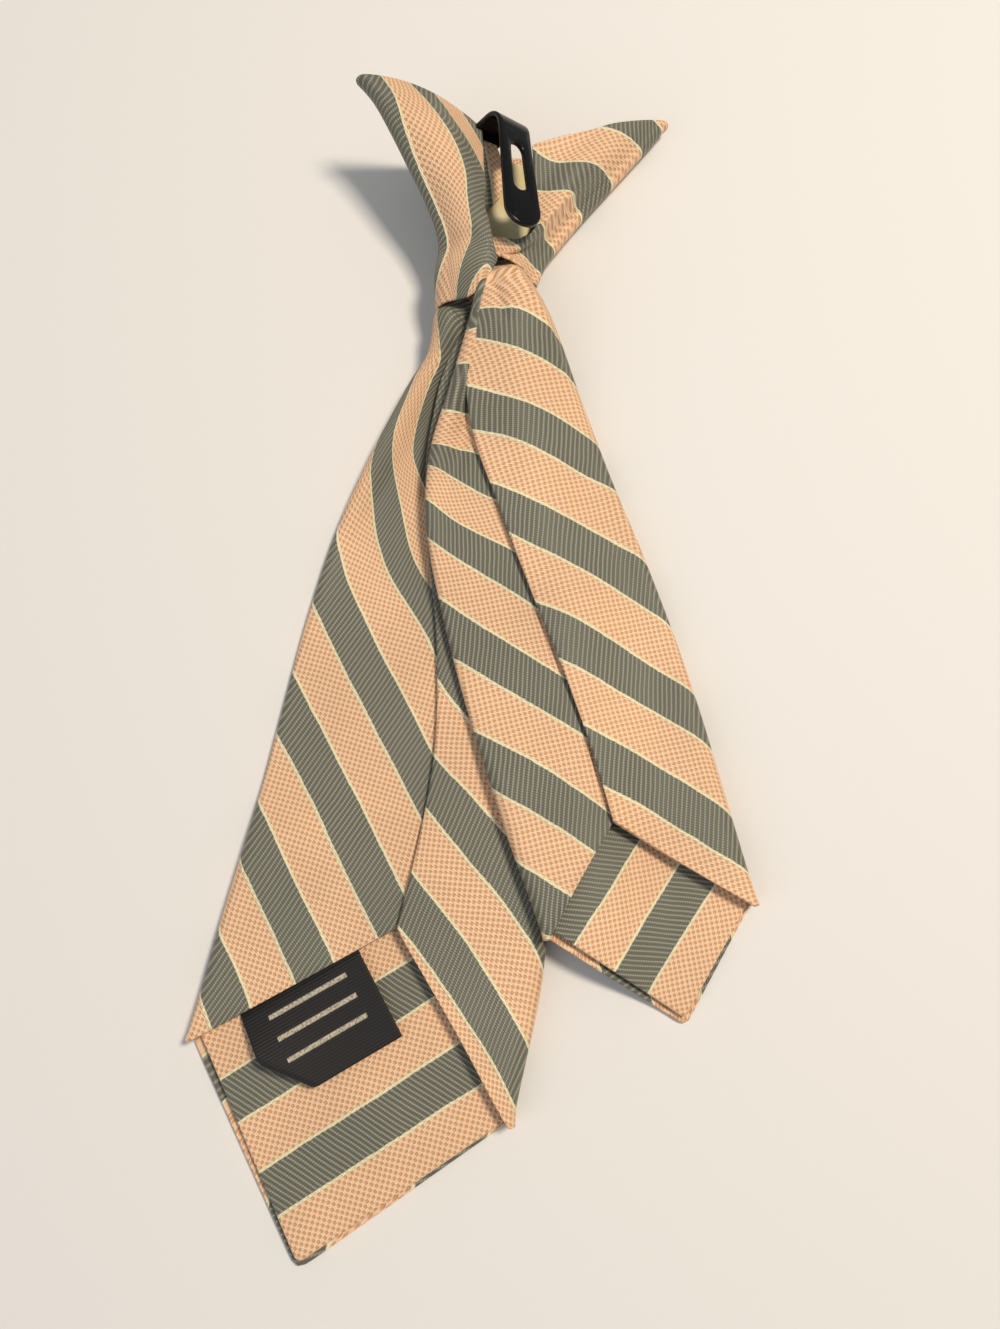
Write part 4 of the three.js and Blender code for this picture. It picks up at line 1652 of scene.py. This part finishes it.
@dataclass
class CollarClip:
    """The clip: one steel strip hooked over the former, with a slotted arm and a rounded tongue."""

    centre: tuple[float, float, float]
    turn: float = 5.0
    roll: float = 40.0
    width: float = 6.8
    thick: float = 0.9
    arm: float = 19.0
    leg: float = 9.0
    space: float = 9.0
    bend: float = 2.6
    slot_width: float = 2.9
    slot_length: float = 9.0
    slot_end: float = 7.0
    twist: float = 13.0
    former_thick: float = 1.3
    gap: float = 0.3
    top_steps: int = 8
    side_steps: int = 6
    tongue_steps: int = 16

    def bent(self, x: float, s: float) -> Vector:
        """The place of a point of the flat strip once it is bent.

        Args:
            x: Its place across the strip.
            s: Its place along the strip, from the tongue's end.

        Returns:
            The place in the clip's own frame.
        """
        inside = -self.former_thick - self.gap
        radius = self.bend + self.thick / 2
        quarter = math.pi / 2 * radius
        upright = self.space - inside - 2 * self.bend
        if s <= self.arm:
            lip = 0.45 * max(0.0, 1 - s / 5.0) ** 2
            twist = math.radians(self.twist) * smooth(1 - s / self.arm)
            return Vector(
                (
                    x * math.cos(twist),
                    s - self.arm,
                    self.space + self.thick / 2 + lip + x * math.sin(twist),
                )
            )
        s -= self.arm
        if s <= quarter:
            turn = math.pi / 2 - s / radius
            middle = self.space - self.bend
            return Vector((x, radius * math.cos(turn), middle + radius * math.sin(turn)))
        s -= quarter
        if s <= upright:
            return Vector((x, radius, self.space - self.bend - s))
        s -= upright
        if s <= quarter:
            turn = -s / radius
            middle = inside + self.bend
            return Vector((x, radius * math.cos(turn), middle + radius * math.sin(turn)))
        return Vector((x, quarter - s, inside - self.thick / 2))

    def rings(self) -> tuple[list[Vector], list[Vector]]:
        """The slot's outline and the arm's outline on the flat strip, point for point."""
        half, hole = self.width / 2, self.slot_width / 2
        low = self.slot_end + hole
        high = low + self.slot_length - self.slot_width
        inner: list[Vector] = []
        outer: list[Vector] = []
        for i in range(self.top_steps):
            t = i / self.top_steps
            turn = math.pi * (1 - t)
            inner.append(Vector((hole * math.cos(turn), high + hole * math.sin(turn), 0.0)))
            outer.append(Vector((mix(-half, half, t), self.arm, 0.0)))
        for i in range(self.side_steps):
            t = i / self.side_steps
            inner.append(Vector((hole, mix(high, low, t), 0.0)))
            outer.append(Vector((half, mix(self.arm, half, t), 0.0)))
        for i in range(self.tongue_steps):
            turn = -math.pi * i / self.tongue_steps
            inner.append(Vector((hole * math.cos(turn), low + hole * math.sin(turn), 0.0)))
            outer.append(Vector((half * math.cos(turn), half + half * math.sin(turn), 0.0)))
        for i in range(self.side_steps):
            t = i / self.side_steps
            inner.append(Vector((-hole, mix(low, high, t), 0.0)))
            outer.append(Vector((-half, mix(half, self.arm, t), 0.0)))
        return inner, outer

    def build(self, material: bpy.types.Material) -> bpy.types.Object:
        """Makes the flat strip round its slot, draws it out to the hook, bends it and rounds it."""
        mesh = bpy.data.meshes.new("collar_clip_strip")
        piece = bpy.data.objects.new("collar_clip_strip", mesh)
        bpy.context.scene.collection.objects.link(piece)
        inner, outer = self.rings()
        bm = bmesh.new()
        ring = bmesh.ops.create_circle(bm, cap_ends=False, segments=len(inner), radius=1.0)
        slot_verts = sorted(ring["verts"], key=lambda vert: vert.index)
        first = {vert: i for i, vert in enumerate(slot_verts)}
        grown = bmesh.ops.extrude_edge_only(bm, edges=list(bm.edges))["geom"]
        rim_verts = [item for item in grown if isinstance(item, bmesh.types.BMVert)]
        partner: dict[bmesh.types.BMVert, int] = {}
        for vert in rim_verts:
            old = next(
                e.other_vert(vert) for e in vert.link_edges if e.other_vert(vert) in first
            )
            partner[vert] = first[old]
        for vert, i in first.items():
            vert.co = inner[i]
        for vert, i in partner.items():
            vert.co = outer[i]
        top = [
            e
            for e in bm.edges
            if all(abs(v.co.y - self.arm) < 1e-6 and v in partner for v in e.verts)
        ]
        radius = self.bend + self.thick / 2
        quarter = math.pi / 2 * radius
        upright = self.space + self.former_thick + self.gap - 2 * self.bend
        stops = [self.arm + quarter * i / 8 for i in range(1, 9)]
        stops.append(self.arm + quarter + upright / 2)
        stops += [self.arm + quarter + upright + quarter * i / 8 for i in range(9)]
        stops.append(self.arm + 2 * quarter + upright + self.leg)
        for stop in stops:
            geom = bmesh.ops.extrude_edge_only(bm, edges=top)["geom"]
            for item in geom:
                if isinstance(item, bmesh.types.BMVert):
                    item.co.y = stop
            top = [item for item in geom if isinstance(item, bmesh.types.BMEdge)]
        bmesh.ops.subdivide_edges(
            bm,
            edges=[e for e in bm.edges if e.calc_length() > 2.2],
            cuts=1,
            use_grid_fill=True,
        )
        turn = Matrix.Rotation(math.radians(self.turn), 4, "Z") @ Matrix.Rotation(
            math.radians(self.roll), 4, "Y"
        )
        for vert in bm.verts:
            bent = self.bent(vert.co.x, vert.co.y)
            vert.co = to_row(turn @ bent + Vector(self.centre))
        bmesh.ops.recalc_face_normals(bm, faces=bm.faces)
        for face in bm.faces:
            face.smooth = True
        bm.to_mesh(mesh)
        bm.free()
        mesh.materials.append(material)
        wall = piece.modifiers.new("wall", "SOLIDIFY")
        wall.thickness = self.thick * MM
        wall.offset = 0.0
        rounding = piece.modifiers.new("rounding", "BEVEL")
        rounding.width = 0.22 * MM
        rounding.segments = 3
        rounding.limit_method = "ANGLE"
        rounding.angle_limit = math.radians(50)
        rounding.harden_normals = False
        stand_in(piece, "collar_clip")
        return piece


# Tie

WIDE_STATIONS = (
    Station(0.18, -0.437, 0.558, 0.12, 0.065),
    Station(0.3, -0.405, 0.585, 0.127, 0.065),
    Station(0.42, -0.365, 0.56, 0.155, 0.065),
    Station(0.52, -0.342, 0.51, 0.155, 0.07),
    Station(0.63, -0.315, 0.43, 0.105, 0.08),
    Station(0.73, -0.272, 0.33, 0.03, 0.11, 0.01),
    Station(0.82, -0.2, 0.23, -0.015, 0.17, 0.04),
    Station(0.881, -0.137, 0.176, -0.013, 0.18, 0.09),
    Station(0.905, -0.11, 0.158, -0.008, 0.18, 0.115),
    Station(0.93, -0.073, 0.149, 0.008, 0.19, 0.15),
    Station(0.955, -0.064, 0.142, 0.03, 0.222, 0.183),
    Station(0.976, -0.066, 0.138, 0.052, 0.235, 0.212),
    Station(0.988, -0.05, 0.136, 0.066, 0.15, 0.229),
    Station(1.0, -0.025, 0.135, 0.08, 0.14, 0.245),
)
NARROW_STATIONS = (
    Station(0.14, -0.54, 0.455, -0.115, 0.065),
    Station(0.27, -0.595, 0.445, -0.115, 0.065),
    Station(0.43, -0.64, 0.43, -0.152, 0.065),
    Station(0.58, -0.655, 0.383, -0.225, 0.07),
    Station(0.7, -0.63, 0.327, -0.275, 0.09),
    Station(0.79, -0.535, 0.293, -0.31, 0.13),
    Station(0.86, -0.39, 0.265, -0.29, 0.15),
    Station(0.91, -0.285, 0.24, -0.225, 0.145),
    Station(0.95, -0.205, 0.205, -0.155, 0.137),
    Station(1.0, -0.12, 0.12, -0.06, 0.13),
)
WIDE_LEFT_READINGS = FlapReadings(
    heights=(20, 40, 60, 80, 95, 106, 116, 126, 135, 144, 150, 157),
    usual_lean=-0.05,
    grain=(0.616, 0.788),
    edges=(
        StripeEdge(
            0.48,
            (
                (-11.2, 129.8), (-10.0, 126.6), (-7.8, 117.9), (-5.8, 112.4),
                (2.0, 102.5), (7.5, 95.0),
            ),
        ),
        StripeEdge(1, ((-14.8, 115.8), (-11.0, 107.5), (-5.7, 99.8), (1.4, 89.8), (8.0, 80.3))),
        StripeEdge(
            1.48,
            (
                (-16.5, 103.4), (-10.4, 94.4), (-4.7, 86.9), (0.8, 79.2),
                (2.6, 77.3), (7.9, 70.1),
            ),
        ),
        StripeEdge(2, ((-17.3, 90.8), (-12.3, 84.1), (-4.5, 73.0), (5.6, 59.6), (7.1, 57.9))),
        StripeEdge(2.48, ((-18.1, 79.8), (-13.0, 73.1), (-4.9, 62.4), (3.9, 50.3))),
        StripeEdge(3, ((-19.0, 68.9), (-13.5, 61.4), (-8.1, 53.8), (-2.8, 46.6))),
        StripeEdge(3.48, ((-20.1, 58.5), (-15.4, 52.1), (-10.5, 45.4))),
        StripeEdge(4, ((-21.5, 47.9), (-18.8, 44.2))),
        StripeEdge(4.48, ((-22.3, 37.1),)),
        StripeEdge(
            0,
            (
                (-7.1, 140.0), (-6.4, 137.4), (-6.9, 133.0), (-6.7, 128.0),
                (-5.3, 123.3), (-3.4, 118.6), (-1.25, 114.9), (0.6, 112.4),
            ),
        ),
        StripeEdge(
            -0.52,
            (
                (-2.3, 144.2), (-4.1, 139.2), (-4.4, 134.2), (-3.6, 130.5),
                (-1.9, 128.3), (-0.1, 126.4),
            ),
        ),
        StripeEdge(-1, ((-1.9, 141.1), (-2.1, 138.6), (-1.6, 135.5), (-0.5, 133.3))),
        StripeEdge(
            0.48,
            (
                (-10.6, 127.7), (-9.7, 125.5), (-8.9, 121.7), (-7.5, 116.7),
                (-5.0, 111.4),
            ),
        ),
        StripeEdge(1, ((-14.3, 114.9), (-12.5, 111.4))),
        StripeEdge(-0.52, ((-3.4, 153.2), (-1.9, 150.0))),
    ),
)
WIDE_RIGHT_READINGS = FlapReadings(
    heights=(25, 40, 55, 70, 85, 100),
    usual_lean=-0.045,
    grain=(0.748, 0.664),
    edges=(
        StripeEdge(0, ((8.6, 80.7), (15.6, 75.3), (20.0, 71.7))),
        StripeEdge(0.48, ((8.8, 72.0), (17.3, 63.5), (22.8, 59.4), (27.8, 54.3), (31.1, 50.1))),
        StripeEdge(1, ((7.6, 61.8), (12.8, 57.9), (18.8, 51.7), (25.2, 44.2), (30.9, 37.6))),
        StripeEdge(1.48, ((6.8, 53.3), (12.0, 48.7), (20.0, 40.6), (29.2, 28.9))),
        StripeEdge(-0.52, ((8.9, 91.4), (12.8, 87.7))),
    ),
)
NARROW_LEFT_READINGS = FlapReadings(
    heights=(18, 35, 50, 65, 80, 90, 98, 106, 114, 123),
    usual_lean=-0.045,
    grain=(0.7, 0.714),
    edges=(
        StripeEdge(0, ((-15.2, 102.1), (-10.6, 98.7))),
        StripeEdge(0.48, ((-17.2, 96.4), (-13.3, 92.9), (-9.7, 90.7))),
        StripeEdge(1, ((-18.5, 89.2), (-15.3, 86.0), (-8.4, 80.0))),
        StripeEdge(1.48, ((-22.9, 87.4), (-19.3, 82.9), (-13.2, 76.6), (-7.5, 70.9))),
        StripeEdge(2, ((-23.2, 75.6), (-19.6, 72.0), (-12.3, 64.1), (-5.7, 57.2))),
        StripeEdge(2.48, ((-22.7, 65.0), (-16.2, 58.8), (-9.2, 51.9), (-4.5, 46.9))),
        StripeEdge(3, ((-22.4, 53.0), (-17.3, 48.3), (-10.8, 42.0), (-4.1, 34.5))),
        StripeEdge(3.48, ((-21.7, 42.4), (-16.7, 38.3), (-8.5, 29.3))),
        StripeEdge(4, ((-20.4, 30.5), (-14.3, 24.5))),
        StripeEdge(-0.52, ((-14.7, 106.5),)),
        StripeEdge(-1, ((-9.9, 114.2),)),
        StripeEdge(-1.52, ((-6.7, 121.3),)),
        StripeEdge(-2, ((-4.6, 126.3),)),
    ),
)
NARROW_RIGHT_READINGS = FlapReadings(
    heights=(15, 35, 55, 70, 85, 100, 108, 114, 120, 127),
    usual_lean=-0.04,
    grain=(0.7, 0.714),
    edges=(
        StripeEdge(0, ((-2.9, 122.9), (0.2, 122.1), (4.3, 120.1), (5.5, 119.1))),
        StripeEdge(0.48, ((-6.4, 118.0), (0.2, 114.8), (6.9, 110.9))),
        StripeEdge(1, ((-10.1, 110.9), (-1.7, 106.4), (8.6, 99.2))),
        StripeEdge(1.48, ((-10.8, 102.8), (-3.4, 99.3), (9.6, 90.2))),
        StripeEdge(2, ((-5.6, 90.3), (-1.3, 86.8), (4.2, 82.6), (12.1, 75.7))),
        StripeEdge(2.48, ((-7.4, 82.6), (-0.4, 77.3), (6.6, 71.6), (13.2, 64.6))),
        StripeEdge(3, ((-7.5, 71.6), (-1.4, 66.8), (6.6, 59.2), (14.4, 52.0))),
        StripeEdge(3.48, ((-6.3, 61.5), (-0.5, 57.2), (7.4, 49.7), (14.7, 41.9))),
        StripeEdge(4, ((-4.7, 49.3), (2.6, 43.4))),
        StripeEdge(4.48, ((-2.8, 38.3), (7.3, 29.0), (14.6, 21.9))),
        StripeEdge(-0.2, ((1.3, 125.2),)),
        StripeEdge(-0.35, ((-0.5, 126.5), (2.9, 126.1))),
        StripeEdge(-0.45, ((0.1, 129.2),)),
    ),
)
KNOT_TABLE = (
    KnotRow(
        0, -0.2, 0, 0.35, 0.115, 0.15, 0.25,
        -0.007, 0.15, 0.68, -0.014, 0.185, 0.58,
        -0.02, 0.16, 0.03, 0.11, 0.2,
    ),
    KnotRow(
        0.15, -0.202, 0.13, 0.45, 0.15, 0.28, 0.19,
        -0.021, 0.245, 0.67, -0.05, 0.262, 0.6,
        0.06, 0.1, 0.01, 0.15, 0.1, 0.13,
    ),
    KnotRow(
        0.3, -0.19, 0.27, 0.53, 0.207, 0.4, 0.14,
        -0.036, 0.33, 0.68, -0.012, 0.28, 0.6,
        0.09, 0.12, 0, 0.16, 0.03, 0.2,
    ),
    KnotRow(
        0.45, -0.223, 0.41, 0.62, 0.291, 0.55, 0.12,
        -0.05, 0.41, 0.69, 0.061, 0.268, 0.56,
        0.12, 0.1, 0, 0.16, 0, 0.05,
    ),
    KnotRow(
        0.6, -0.277, 0.55, 0.73, 0.371, 0.68, 0.12,
        -0.045, 0.49, 0.69, 0.104, 0.315, 0.53,
        0.12, 0.12, 0, 0.16,
    ),
    KnotRow(
        0.75, -0.336, 0.7, 0.83, 0.45, 0.81, 0.12,
        -0.05, 0.57, 0.67, 0.108, 0.45, 0.53,
        0.12, 0.11, 0, 0.16,
    ),
    KnotRow(
        0.9, -0.39, 0.82, 0.91, 0.514, 0.915, 0.125,
        -0.052, 0.67, 0.66, 0.107, 0.615, 0.54,
        0.09, 0.07, 0.01, 0.15,
    ),
    KnotRow(
        1, -0.44, 0.89, 0.97, 0.5625, 0.995, 0.14,
        -0.055, 0.77, 0.66, 0.1, 0.74, 0.55,
        0.06, 0.03, 0.03, 0.13,
    ),
)
WIDE_FACING_EDGES = (
    StripeEdge(0, ((-17.2, 25.2), (-10.8, 30.0), (4.8, 43.8), (8.6, 47.0))),
    StripeEdge(0.48, ((-13.6, 19.7), (-5.7, 25.6), (9.1, 38.2), (14.2, 42.7))),
    StripeEdge(1, ((-9.0, 13.2), (0.1, 19.8), (12.8, 31.2), (20.6, 37.5))),
    StripeEdge(1.48, ((-4.9, 7.3), (5.1, 14.3), (15.4, 23.1), (25.5, 32.6))),
)
NARROW_FACING_EDGES = (
    StripeEdge(0.48, ((-1.2, 29.3), (-13.4, 17.5))),
    StripeEdge(1, ((5.7, 24.8), (-9.2, 11.3))),
    StripeEdge(1.48, ((10.8, 20.4), (-5.4, 6.5))),
)
LEFT_WING_EDGES = (
    StripeEdge(0.48, ((1.0, 0.21), (0.84, 0.1), (0.67, 0.01), (0.5, 0.0), (0.39, 0.0))),
    StripeEdge(0.55, ((0.18, 0.0), (0.09, 0.0), (0.0, 0.0))),
    StripeEdge(0.5, ((0.26, 0.0),)),
    StripeEdge(
        1,
        (
            (1.0, 0.29), (1.0, 0.37), (0.92, 0.53), (0.79, 0.61),
            (0.65, 0.65), (0.49, 0.67), (0.31, 0.5), (0.24, 0.57),
            (0.18, 0.42), (0.07, 0.06), (0.0, 0.0),
        ),
    ),
    StripeEdge(1.48, ((0.87, 0.63), (0.87, 0.78), (0.82, 0.88), (0.78, 0.95))),
    StripeEdge(0.2, ((0.97, 0.0),)),
    StripeEdge(1.25, ((0.51, 0.89), (0.34, 0.89))),
    StripeEdge(1.3, ((0.19, 0.84), (0.03, 0.96))),
)
RIGHT_WING_EDGES = (
    StripeEdge(1, ((1.6, 73.1), (4.6, 71.6))),
    StripeEdge(1, ((-1.9, 73.4), (6.0, 70.7)), trust=0.35),
    StripeEdge(1.48, ((6.0, 75.8), (8.4, 76.5))),
    StripeEdge(1.48, ((9.5, 77.7),), trust=0.35),
    StripeEdge(2, ((6.8, 84.1), (10.0, 84.0), (14.1, 84.3))),
    StripeEdge(2, ((15.0, 84.9),), trust=0.35),
    StripeEdge(2.48, ((6.1, 92.6), (7.2, 90.5), (9.3, 88.2), (14.1, 89.8), (17.7, 90.1))),
    StripeEdge(2.48, ((19.5, 90.2),), trust=0.35),
    StripeEdge(3, ((21.2, 98.1), (24.8, 97.6))),
    StripeEdge(3, ((24.6, 96.4),), trust=0.35),
    StripeEdge(3.48, ((29.3, 101.8),)),
    StripeEdge(0.75, ((-0.5, 71.0), (2.9, 68.6), (5.0, 68.2))),
)
LEFT_WING_CREASES = (
    Crease(((-13.0, 71.2), (-4.7, 71.8)), -1.1, 1.7),
    Crease(((-8.3, 93.7), (-3.0, 84.5)), -0.7, 1.3),
    Crease(((-9.0, 68.0), (-8.0, 63.0)), 0.7, 2.2),
)
RIGHT_WING_CREASES = (
    Crease(((17.0, 97.2), (13.1, 92.5), (10.0, 90.0), (8.4, 85.8)), -0.8, 2.8),
    Crease(((19.4, 95.5), (16.0, 90.8), (12.7, 83.3)), 0.3, 3.4),
)
NARROW_LEFT_CREASES = (
    Crease(((-3.9, 63.6), (-4.7, 58.0), (-6.2, 49.8), (-9.0, 40.6)), 0.5, 1.3),
    Crease(((-2.2, 60.5), (-2.7, 56.8), (-4.0, 50.3), (-6.0, 41.1), (-7.0, 33.0)), -0.5, 1.1),
)
NARROW_RIGHT_CREASES = (
    Crease(((0.9, 64.3), (3.9, 63.6)), 0.7, 2.6),
    Crease(((-1.3, 65.5), (0.6, 59.1)), -0.6, 0.9),
)
WIDE_LEFT_CREASES = (
    Crease(((-8.3, 55.1), (-10.8, 47.6), (-12.4, 39.3), (-12.8, 30.2)), -1.0, 1.5),
    Crease(((-19.5, 28.0), (-24.0, 12.0)), -0.25, 4.0),
)


@dataclass
class Tie:
    """The whole tie: its two blades, their facings, the label, the knot, the former and the clip."""

    knot_width: float = 56.0
    knot_height: float = 41.0
    knot_depth: float = 20.0
    knot_foot: float = 62.0
    drape: float = 17.0

    def in_knot(self, across: float, up: float, lift: float) -> tuple[float, float, float]:
        """A place in the knot, from shares of its width, height and depth."""
        return (
            across * self.knot_width,
            self.knot_foot + up * self.knot_height,
            lift * self.knot_depth,
        )

    def wide(self) -> Blade:
        """The front blade."""
        return Blade(
            name="wide_blade",
            neck=self.in_knot(-0.14, 0.06, 0)[:2],
            length=161.0,
            width=53.8,
            heading=8.3,
            point_left=36.7,
            point_right=48.9,
            notch=52.8,
            stations=WIDE_STATIONS,
            left_readings=WIDE_LEFT_READINGS,
            right_readings=WIDE_RIGHT_READINGS,
            facing_edges=WIDE_FACING_EDGES,
            turns=6,
            left_creases=WIDE_LEFT_CREASES,
            bed=lambda x, y: 0.0,
        )

    def narrow(self, wide: Blade) -> Blade:
        """The rear blade, which lies across the front one."""

        def wide_top(x: float, y: float) -> float:
            """The top of the front blade, sloping off past its right edge."""
            u, v = wide.find(x, y)
            off = smooth((u - wide.right(v) - wide.puff(v)) / self.drape)
            stack = wide.rise(v) + wide.puff(v) + wide.layer
            return stack * (1 - off)

        return Blade(
            name="narrow_blade",
            neck=self.in_knot(0, 0.11, 0)[:2],
            length=129.0,
            width=35.5,
            heading=-13.3,
            point_left=45.3,
            point_right=45.1,
            notch=33.8,
            stations=NARROW_STATIONS,
            left_readings=NARROW_LEFT_READINGS,
            right_readings=NARROW_RIGHT_READINGS,
            facing_edges=NARROW_FACING_EDGES,
            turns=2,
            left_creases=NARROW_LEFT_CREASES,
            right_creases=NARROW_RIGHT_CREASES,
            tail=3.6,
            bed=wide_top,
            rows=88,
        )

    def build(self) -> None:
        """Makes and dresses every piece."""
        jacquard = JacquardSatin().make()
        wide = self.wide()
        narrow = self.narrow(wide)
        wide.build(jacquard, (106.0, 161.0), 11000.0)
        wide.build_facing(jacquard, "wide_facing", (52.0, 58.0), 2050.0)
        Label(wide).build(DamaskTape().make())
        narrow.build(jacquard, (86.0, 129.0), 8200.0)
        narrow.build_facing(jacquard, "narrow_facing", (38.0, 39.0), 940.0)
        knot = Knot(
            KNOT_TABLE,
            LEFT_WING_EDGES,
            RIGHT_WING_EDGES,
            LEFT_WING_CREASES,
            RIGHT_WING_CREASES,
        )
        knot.build(jacquard, (104.0, 41.0), 2260.0)
        Tuck().build(jacquard, (10.0, 13.0), 80.0)
        Former(self.in_knot(0.02, 0.69, 0.48)).build(MouldedPolythene().make())
        CollarClip(self.in_knot(-0.065, 0.695, 0.475)).build(StovedEnamel().make())


# Studio


@dataclass
class Studio:
    """The pale table, the soft lights and the camera at the photograph's place."""

    eye: tuple[float, float, float] = (0.003955, -0.0394, 0.17651)
    tilt: float = 11.3
    lens: float = 28.44
    table: float = 3.0

    def build_table(self) -> None:
        """Makes the table top."""
        mesh = bpy.data.meshes.new("table_top")
        top = bpy.data.objects.new("table_top", mesh)
        bpy.context.scene.collection.objects.link(top)
        bm = bmesh.new()
        bmesh.ops.create_grid(bm, x_segments=1, y_segments=1, size=self.table)
        bm.to_mesh(mesh)
        bm.free()
        mesh.materials.append(TableCard().make())

    def build_lamp(
        self, name: str, place: tuple[float, float, float], size: float, watts: float, warm: str
    ) -> None:
        """Hangs an area lamp that faces the knot.

        Args:
            name: The lamp's name.
            place: Where it hangs, in metres.
            size: Its side, in metres.
            watts: Its power.
            warm: Its colour.
        """
        lamp = bpy.data.lights.new(name, "AREA")
        lamp.size = size
        lamp.energy = watts
        lamp.color = colour(warm)[:3]
        holder = bpy.data.objects.new(name, lamp)
        bpy.context.scene.collection.objects.link(holder)
        holder.location = place
        aim = Vector((0.0, 0.02, 0.0)) - Vector(place)
        holder.rotation_euler = aim.to_track_quat("-Z", "Y").to_euler()

    def build_camera(self) -> None:
        """Places the camera."""
        lens = bpy.data.cameras.new("camera")
        lens.lens = self.lens
        lens.sensor_width = 36.0
        lens.sensor_fit = "AUTO"
        lens.clip_start = 0.01
        camera = bpy.data.objects.new("camera", lens)
        bpy.context.scene.collection.objects.link(camera)
        camera.location = self.eye
        camera.rotation_euler = (math.radians(self.tilt), 0.0, 0.0)
        bpy.context.scene.camera = camera

    def build(self) -> None:
        """Makes the table, the light and the camera."""
        self.build_table()
        self.build_lamp("key", (0.32, 0.17, 0.75), 0.16, 6.2, "FFF3E4")
        self.build_lamp("fill", (-0.7, -0.5, 0.7), 0.9, 3.0, "E6EEFF")
        world = bpy.data.worlds.new("soft_room")
        world.use_nodes = True
        world.node_tree.nodes["Background"].inputs["Color"].default_value = colour("E8EAEE")
        world.node_tree.nodes["Background"].inputs["Strength"].default_value = 0.38
        bpy.context.scene.world = world
        bpy.context.scene.view_settings.view_transform = "Standard"
        self.build_camera()


def main() -> None:
    """Loads the frame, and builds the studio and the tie."""
    logging.basicConfig(level=logging.INFO, format="%(name)s: %(message)s")
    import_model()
    Studio().build()
    Tie().build()


if __name__ == "__main__":
    main()
